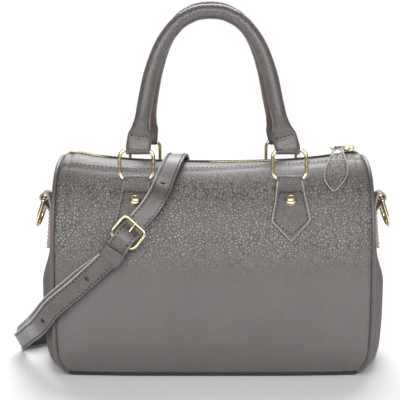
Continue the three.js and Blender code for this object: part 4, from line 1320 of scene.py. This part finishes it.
def d_tab(end):
    """One strip that goes up against the end panel, round the ring's bar and down again in front."""
    half = d_loop_leather / 2
    reach = d_loop_hole + half
    neck = d_loop_height - 2.4 * d_loop_radius
    low = np.linspace(d_tab_foot, neck, 12)
    inner = [(float(gusset_middle_at(z)) + clearance + half + 0.1, z) for z in low]
    turns = np.linspace(math.radians(190), math.radians(-42), 40)
    loop = [(d_bar_place + reach * math.cos(t), d_loop_height + reach * math.sin(t)) for t in turns]
    outer = [(float(gusset_middle_at(z)) + clearance + 3 * half - 0.15, z) for z in low[::-1]]
    path = np.array([(x, 0, z) for x, z in inner + loop + outer])
    path = smoothed(resampled(path, 110), 6)
    tangents = unit(np.gradient(path, axis=0))
    rings = []
    across, height, paint = strip_section(d_tab_width / 2, -half, 2 * half, 6)
    for point, tangent in zip(path, tangents):
        out = np.cross(tangent, [0, 1, 0])
        ring = point + np.outer(across, [0, 1, 0]) + np.outer(height, out)
        rings.append(ring * [end, 1, 1])
    return loft(np.array(rings), paint=paint)


def d_tab_stitches(end):
    z = np.linspace(d_tab_foot + 2.5, d_loop_height - 2.7 * d_loop_radius, 24)
    x = gusset_middle_at(z) + clearance + 2 * d_loop_leather
    parts = []
    for y in (-d_tab_width / 2 + 2, d_tab_width / 2 - 2):
        line = np.stack([end * x, np.full(24, y), z], -1)
        parts += stitch_parts(line, np.tile([end, 0.0, 0.0], (24, 1)), pitch=2.9, length=2.0, radius=0.28)
    return parts


def d_ring(end):
    half = d_ring_width / 2 - d_ring_wire
    straight = d_ring_depth - 2 * d_ring_wire - half
    bend = [
        (half - d_ring_corner * (1 - math.sin(t)), -d_ring_corner * (1 - math.cos(t)))
        for t in np.linspace(0, math.pi / 2, 6)
    ]
    bow = [(half * math.cos(t), -straight - half * math.sin(t)) for t in np.linspace(0, math.pi, 40)]
    points = bend + bow + [(-y, down) for y, down in bend[::-1]]
    path = [
        (end * (d_bar_place - math.sin(d_ring_slant) * down), y, d_bar_height + math.cos(d_ring_slant) * down)
        for y, down in points
    ]
    return wire(path, d_ring_wire, 16, loop=True)


for side_name, end in sides:
    add_leather(f"d_tab_{side_name}", [d_tab(end)], smooth_leather, tan_edge)
    add_piece(f"d_tab_{side_name}_stitches", d_tab_stitches(end), [thread])
    add_metal(f"d_ring_{side_name}", [d_ring(end)], f"ring_{side_name}")


# Shoulder strap

strap_layer = strap_thickness + clearance


def bag_row(face, kind, value, up, layers):
    on_tab = kind == "beside"
    x = value * tab_half_width - ring_place if on_tab else value * half_length
    lift = layers * strap_layer + (tab_thickness + clearance if on_tab else 0)
    return skin(face, x, up, lift), body_normal(face, x, up), None


def free_row(along, out, height, tilt):
    angle = math.radians(tilt)
    point = np.array([along * half_length, out * half_depth, height])
    return point, None, np.array([-math.sin(angle), 0, math.cos(angle)])


def route_rows():
    ground = strap_width / 2 + clearance
    rows = [bag_row(*row) for row in strap_bag_rows]
    rows += [free_row(along, out, up * bag_height, tilt) for along, out, up, tilt in strap_free_rows]
    rows += [free_row(along, out, ground, tilt) for along, out, tilt in strap_ground_rows]
    return rows


def smooth_route(points, steps=60):
    """A curve through points whose speed follows the square root of their distances."""
    padded = np.concatenate([[2 * points[0] - points[1]], points, [2 * points[-1] - points[-2]]])
    line = []
    slopes = []
    for i in range(len(points) - 1):
        p0, p1, p2, p3 = padded[i: i + 4]
        d0, d1, d2 = (np.linalg.norm(b - a) ** 0.5 for a, b in ((p0, p1), (p1, p2), (p2, p3)))
        m1 = ((p1 - p0) / d0 - (p2 - p0) / (d0 + d1) + (p2 - p1) / d1) * d1
        m2 = ((p2 - p1) / d1 - (p3 - p1) / (d1 + d2) + (p3 - p2) / d2) * d1
        for t in np.arange(steps + (i == len(points) - 2)) / steps:
            squared = (3 * (p2 - p1) - 2 * m1 - m2) * t ** 2
            line.append(p1 + m1 * t + squared + (2 * (p1 - p2) + m1 + m2) * t ** 3)
        slopes.append(m1)
    slopes.append(m2)
    return np.array(line), np.array(slopes)


class Route:
    """Places along the strap's route: point, tangent, direction across and direction outwards."""

    def __init__(self, rows, steps=60):
        self.line, slopes = smooth_route(np.array([row[0] for row in rows]), steps)
        self.gone = distances(self.line)
        self.length = self.gone[-1]
        self.places = self.gone[::steps]
        widths = [
            unit(np.cross(slope, normal)) if width is None else width
            for (_, normal, width), slope in zip(rows, slopes)
        ]
        self.widths = [curve_through(self.places, [width[axis] for width in widths]) for axis in range(3)]

    def at(self, along):
        along = np.atleast_1d(np.asarray(along, float))
        inside = np.clip(along, 0.5, self.length - 0.5)

        def point_at(places):
            return np.stack([np.interp(places, self.gone, self.line[:, axis]) for axis in range(3)], -1)

        tangent = unit(point_at(inside + 0.5) - point_at(inside - 0.5))
        point = point_at(inside) + tangent * (along - inside)[:, None]
        width = np.stack([curve(along) for curve in self.widths], -1)
        width = unit(width - (width * tangent).sum(axis=-1, keepdims=True) * tangent)
        return point, tangent, width, np.cross(width, tangent)


route = Route(route_rows())
long_end = route.places[len(strap_bag_rows) + len(strap_free_rows) - 1]
frame_middle = route.places[buckle_row]


def on_route(along, across, height):
    values = (np.atleast_1d(np.asarray(value, float)) for value in (along, across, height))
    along, across, height = np.broadcast_arrays(*values)
    point, _, width, out = route.at(along)
    return point + width * across[:, None] + out * height[:, None]


heel_place = frame_middle + frame_length / 2 - frame_wire
front_place = frame_middle - frame_length / 2 + frame_wire
heel_loop_radius = frame_wire + clearance + frame_loop_leather
prong_eye = frame_wire + clearance + prong_wire
heel_height = clearance + max(heel_loop_radius, prong_eye + prong_wire)
front_bar_height = clearance + strap_thickness + 2 * clearance + frame_wire
keeper_from = heel_place + heel_loop_radius + keeper_start
keeper_to = keeper_from + keeper_length
short_lift = clearance + keeper_wall + clearance

long_height = column_curve([
    (front_place - frame_length, clearance),
    (front_place + 2 * frame_wire, clearance),
    (front_place + 8.5, 0.8 * (heel_height + heel_loop_radius)),
    (heel_place - frame_wire, heel_height + heel_loop_radius + clearance),
    (heel_place + frame_wire, heel_height + heel_loop_radius + clearance),
    (keeper_from, short_lift + strap_layer),
    (keeper_to, short_lift + strap_layer),
    (keeper_to + settle_length, strap_layer + lay_gap),
], 1)
short_height = column_curve([
    (heel_place, clearance),
    (heel_place + heel_loop_radius, clearance),
    (keeper_from, short_lift),
    (keeper_to, short_lift),
    (keeper_to + settle_length, clearance),
], 1)
short_shift = column_curve([
    (keeper_to, 0),
    (keeper_to + 2 * settle_length, short_part_shift),
    (long_end - settle_length, short_part_shift),
    (long_end, 0),
], 1)


def strap_strip(places, height, shift):
    rings = []
    for along in places:
        low = float(height(along))
        across, heights, paint = strip_section(strap_width / 2, low, strap_thickness, 4, 0.3)
        rings.append(on_route(along, across + float(shift(along)), heights))
    return loft(np.array(rings), paint=paint)


def strap_stitches(places, height, shift):
    parts = []
    for edge in (-1, 1):
        across = edge * (strap_width / 2 - 2.1)
        line = np.array([
            on_route(along, across + float(shift(along)), float(height(along)) + strap_thickness)[0]
            for along in places
        ])
        parts += stitch_parts(line, route.at(places)[3], pitch=3.2, length=2.2, radius=0.42, lift=0.16)
    return parts


def no_shift(along):
    return 0.0


hook_radius = hook_wire + clearance + frame_loop_leather
hook_height = clearance + hook_radius
hook_fold_width = hook_width * 0.6


def folded_end(along, height, radius, width):
    _, _, across, _ = route.at(along)
    return roller(on_route(along, 0, height)[0], across[0], radius, width / 2)


def cut_holes(piece, places):
    """Punches the strap's holes and the prong's slot."""
    for k, (along, half_across, half_along) in enumerate(places):
        centre = on_route(along, 0, float(long_height(along)) + strap_thickness / 2)[0]
        _, tangent, width, out = (v[0] for v in route.at(along))
        turns = np.linspace(0, 2 * math.pi, 24, endpoint=False)
        ring = np.outer(np.cos(turns) * half_across, width) + np.outer(np.sin(turns) * half_along, tangent)
        points, faces, _ = loft([centre + ring - 3 * out, centre + ring + 3 * out], round_caps=True)
        mesh = bpy.data.meshes.new(f"hole_{k}")
        mesh.from_pydata((points * MILLIMETRE).tolist(), [], faces)
        face_outwards(mesh)
        tool = link_object(f"hole_{k}", mesh)
        cut = piece.modifiers.new(f"hole_{k}", "BOOLEAN")
        cut.operation = "DIFFERENCE"
        cut.object = tool
        graph = bpy.context.evaluated_depsgraph_get()
        result = bpy.data.meshes.new_from_object(piece.evaluated_get(graph))
        piece.modifiers.clear()
        piece.data = result
        bpy.data.objects.remove(tool)


long_places = np.concatenate([
    np.arange(0, front_place - frame_length, 2.0),
    np.arange(front_place - frame_length, keeper_to, 0.8),
    np.arange(keeper_to, long_end, 1.6),
    [long_end],
])
short_places = np.concatenate([
    np.arange(heel_place, keeper_to, 0.8),
    np.arange(keeper_to, long_end + 50, 1.6),
    np.arange(long_end + 50, route.length, 3.0),
    [route.length],
])

long_parts = [
    strap_strip(long_places, long_height, no_shift),
    folded_end(0, hook_height, hook_radius, hook_fold_width),
]
strap_long = add_leather("strap_long", long_parts, smooth_leather, pale_edge)
punched = [(frame_middle + k * strap_hole_pitch, strap_hole_radius, strap_hole_radius) for k in (-1, 1, 2)]
prong_slot = (front_place + 5.2, prong_wire + 0.5, 2.2)
cut_holes(strap_long, punched + [prong_slot])
short_parts = [
    strap_strip(short_places, short_height, short_shift),
    folded_end(heel_place, heel_height, heel_loop_radius, strap_width),
    folded_end(route.length, hook_height, hook_radius, hook_fold_width),
]
add_leather("strap_short", short_parts, smooth_leather, pale_edge)

# Stitched stretches of the strap: from, to, step, and the height and shift of the part
stitched_rows = [
    (4, front_place - 2, 2.0, long_height, no_shift),
    (front_place + 4, keeper_from - 1, 1.0, long_height, no_shift),
    (keeper_to + 1, long_end - 2, 1.5, long_height, no_shift),
    (long_end + 4, route.length - 4, 3.0, short_height, short_shift),
]
stitches = []
for start, stop, step, height, shift in stitched_rows:
    stitches += strap_stitches(np.arange(start, stop, step), height, shift)
add_piece("strap_stitches", stitches, [thread])


def strap_edge(places, height, side, shift=no_shift):
    """A line along one edge of the strap, on the corner of its upper face: a painted highlight along one edge
    and painted shade along the other.
    """
    line = on_route(
        places, shift(places) + side * (strap_width / 2 - 0.1), height(places) + strap_thickness - 0.15)
    return wire(line, 0.42, 8)


over_bag = np.arange(2.0, front_place - 2, 1.0)
past_keeper = np.arange(keeper_to + 1, long_end - 1, 1.0)
under_long = np.arange(keeper_to + 2, long_end - 4, 1.0)
highlight_lines, shade_lines = (
    [strap_edge(places, long_height, side) for places in (over_bag, past_keeper)] for side in (1, -1)
)
highlight_lines.append(strap_edge(under_long, short_height, 1, short_shift))
# Painted highlight and painted shade: a light line along one edge of the strap and a dark line along the
# other, as light falls on it.
add_piece("strap_painted_highlight_edge", highlight_lines, [highlight_edge_colour])
add_piece("strap_painted_shade_edge", shade_lines, [thread])


def buckle_points():
    outline = rounded_rectangle(frame_length - 2 * frame_wire, frame_width - 2 * frame_wire, frame_corner)
    share = outline[:, 0] / (frame_length - 2 * frame_wire) + 0.5
    heights = front_bar_height + (heel_height - front_bar_height) * share
    return on_route(frame_middle + outline[:, 0], outline[:, 1], heights)


def prong_points():
    tip_height = front_bar_height + frame_wire + clearance + prong_wire
    angles = math.pi * (1.1 * np.linspace(0, 1, 14) - 0.6)
    eye = on_route(heel_place + prong_eye * np.cos(angles), 0, heel_height + prong_eye * np.sin(angles))
    tip = on_route([front_place + 3, front_place + frame_wire, front_place - frame_wire], 0,
                   [tip_height - 0.9, tip_height, tip_height])
    return resampled(np.concatenate([eye, tip]), 60)


def keeper():
    half = strap_width / 2 + clearance
    low = short_lift - clearance
    high = short_lift + strap_layer + strap_thickness + clearance
    places = np.linspace(keeper_from, keeper_to, 9)
    outline_in = rounded_rectangle(2 * half, high - low, 0.9, 5)
    outline_out = rounded_rectangle(2 * (half + keeper_wall), high - low + 2 * keeper_wall, 1.8, 5)
    middle = (low + high) / 2
    soften = [0.5] + [0] * 7 + [0.5]
    outer = [on_route(p, outline_out[:, 0] * (1 - s * 0.03), middle + outline_out[:, 1] * (1 - s * 0.12))
             for p, s in zip(places, soften)]
    inner = [on_route(p, outline_in[:, 0], middle + outline_in[:, 1]) for p in places[::-1]]
    return loft(np.array(outer + inner), loop=True)


def strap_hook(along, direction):
    outline = rounded_rectangle(hook_length, hook_width, hook_width / 3)
    return wire(on_route(along + direction * (outline[:, 0] + hook_length / 2), outline[:, 1], hook_height),
                hook_wire, 14, loop=True)


add_metal("buckle_frame", [wire(buckle_points(), frame_wire, 16, loop=True)])
add_metal("buckle_prong", [wire(prong_points(), prong_wire, 12)])
add_leather("strap_keeper", [keeper()], smooth_leather)
add_metal("strap_hook_long", [strap_hook(0, -1)])
add_metal("strap_hook_short", [strap_hook(route.length, 1)])


# Floor, light and camera


def floor():
    material, shader, _, _ = new_material("pale_floor")
    shader.inputs["Base Color"].default_value = (0.95, 0.95, 0.965, 1)
    shader.inputs["Roughness"].default_value = 0.8
    shader.inputs["Specular IOR Level"].default_value = 0.1
    turns = 2 * math.pi * np.arange(64) / 64
    circle = np.stack([np.cos(turns), np.sin(turns), 0 * turns], -1)
    floor_radius = 3
    mesh = bpy.data.meshes.new("pale_floor")
    mesh.from_pydata((circle * floor_radius).tolist(), [], [list(range(len(circle)))])
    mesh.materials.append(material)
    link_object("pale_floor", mesh)


def softbox(name, place, target, width, height, power):
    data = bpy.data.lights.new(name, "AREA")
    data.shape = "RECTANGLE"
    data.size = width
    data.size_y = height
    data.energy = power
    light = link_object(name, data)
    light.location = place
    away = unit(np.array(place, float) - np.array(target, float))
    light.rotation_euler = (math.acos(away[2]), 0, math.atan2(away[1], away[0]) + math.pi / 2)


def backdrop():
    """A white wall far round the floor, that only the camera sees."""
    material, shader, _, _ = new_material("white_backdrop")
    shader.inputs["Base Color"].default_value = (0, 0, 0, 1)
    shader.inputs["Specular IOR Level"].default_value = 0
    shader.inputs["Emission Color"].default_value = (1, 1, 1, 1)
    shader.inputs["Emission Strength"].default_value = 1
    turns = 2 * math.pi * np.arange(48) / 48
    rings = [
        np.stack([radius * np.cos(turns), radius * np.sin(turns), np.full(48, height)], -1)
        for radius, height in ((3000, -2), (3000, 2600), (2200, 3400), (900, 3800))
    ]
    points, faces, _ = loft(rings, round_caps=True)
    mesh = bpy.data.meshes.new("white_backdrop")
    mesh.from_pydata((points * MILLIMETRE).tolist(), [], faces[:-2])
    mesh.materials.append(material)
    piece = link_object("white_backdrop", mesh)
    piece.visible_diffuse = False
    piece.visible_glossy = False
    piece.visible_shadow = False


def surroundings():
    """A dim room with a bright band above the horizon in front and behind, for the metal to reflect."""
    world = bpy.data.worlds.new("studio")
    world.use_nodes = True
    tree = world.node_tree
    background = tree.nodes["Background"]
    background.inputs["Color"].default_value = (1, 1, 1, 1)
    add = node_adder(tree)
    parts = add("ShaderNodeSeparateXYZ", {0: add("ShaderNodeTexCoord").outputs["Generated"]}).outputs
    low_edge = mapped(add, parts["Z"], 0.12, 0.35, 0.0, 1.0)
    high_edge = mapped(add, parts["Z"], 0.5, 0.8, 1.0, 0.0)
    sideways = mapped(add, add_math(add, "ABSOLUTE", parts["X"]), 0.5, 0.9, 1.0, 0.0)
    band = add_math(add, "MULTIPLY", add_math(add, "MULTIPLY", low_edge, high_edge), sideways)
    tree.links.new(add_math(add, "MULTIPLY_ADD", band, 0.85, 0.17), background.inputs["Strength"])
    bpy.context.scene.world = world


def studio():
    surroundings()
    softbox("front_softbox", (0.0, -1.28, 0.80), (0, 0, 0.1), 1.8, 0.3, 14)
    data = bpy.data.lights.new("top_light", "SUN")
    data.energy = 2.8
    data.angle = math.radians(50)
    link_object("top_light", data).rotation_euler = (math.radians(-41), 0, 0)


camera_place = (0, -0.770, 0.2476)
camera_pitch = math.radians(8.3)
focal_pixels = 910
frame_pixels = 400
axis_pixel = 213


def camera():
    data = bpy.data.cameras.new("camera")
    data.sensor_width = 36
    data.lens = 36 * focal_pixels / frame_pixels
    data.shift_x = (frame_pixels / 2 - axis_pixel) / frame_pixels
    data.clip_start = 0.01
    eye = bpy.data.objects.new("camera", data)
    eye.location = camera_place
    eye.rotation_euler = (math.pi / 2 - camera_pitch, 0, 0)
    bpy.context.scene.collection.objects.link(eye)
    bpy.context.scene.camera = eye


floor()
backdrop()
studio()
camera()
bpy.context.scene.view_settings.view_transform = "Standard"
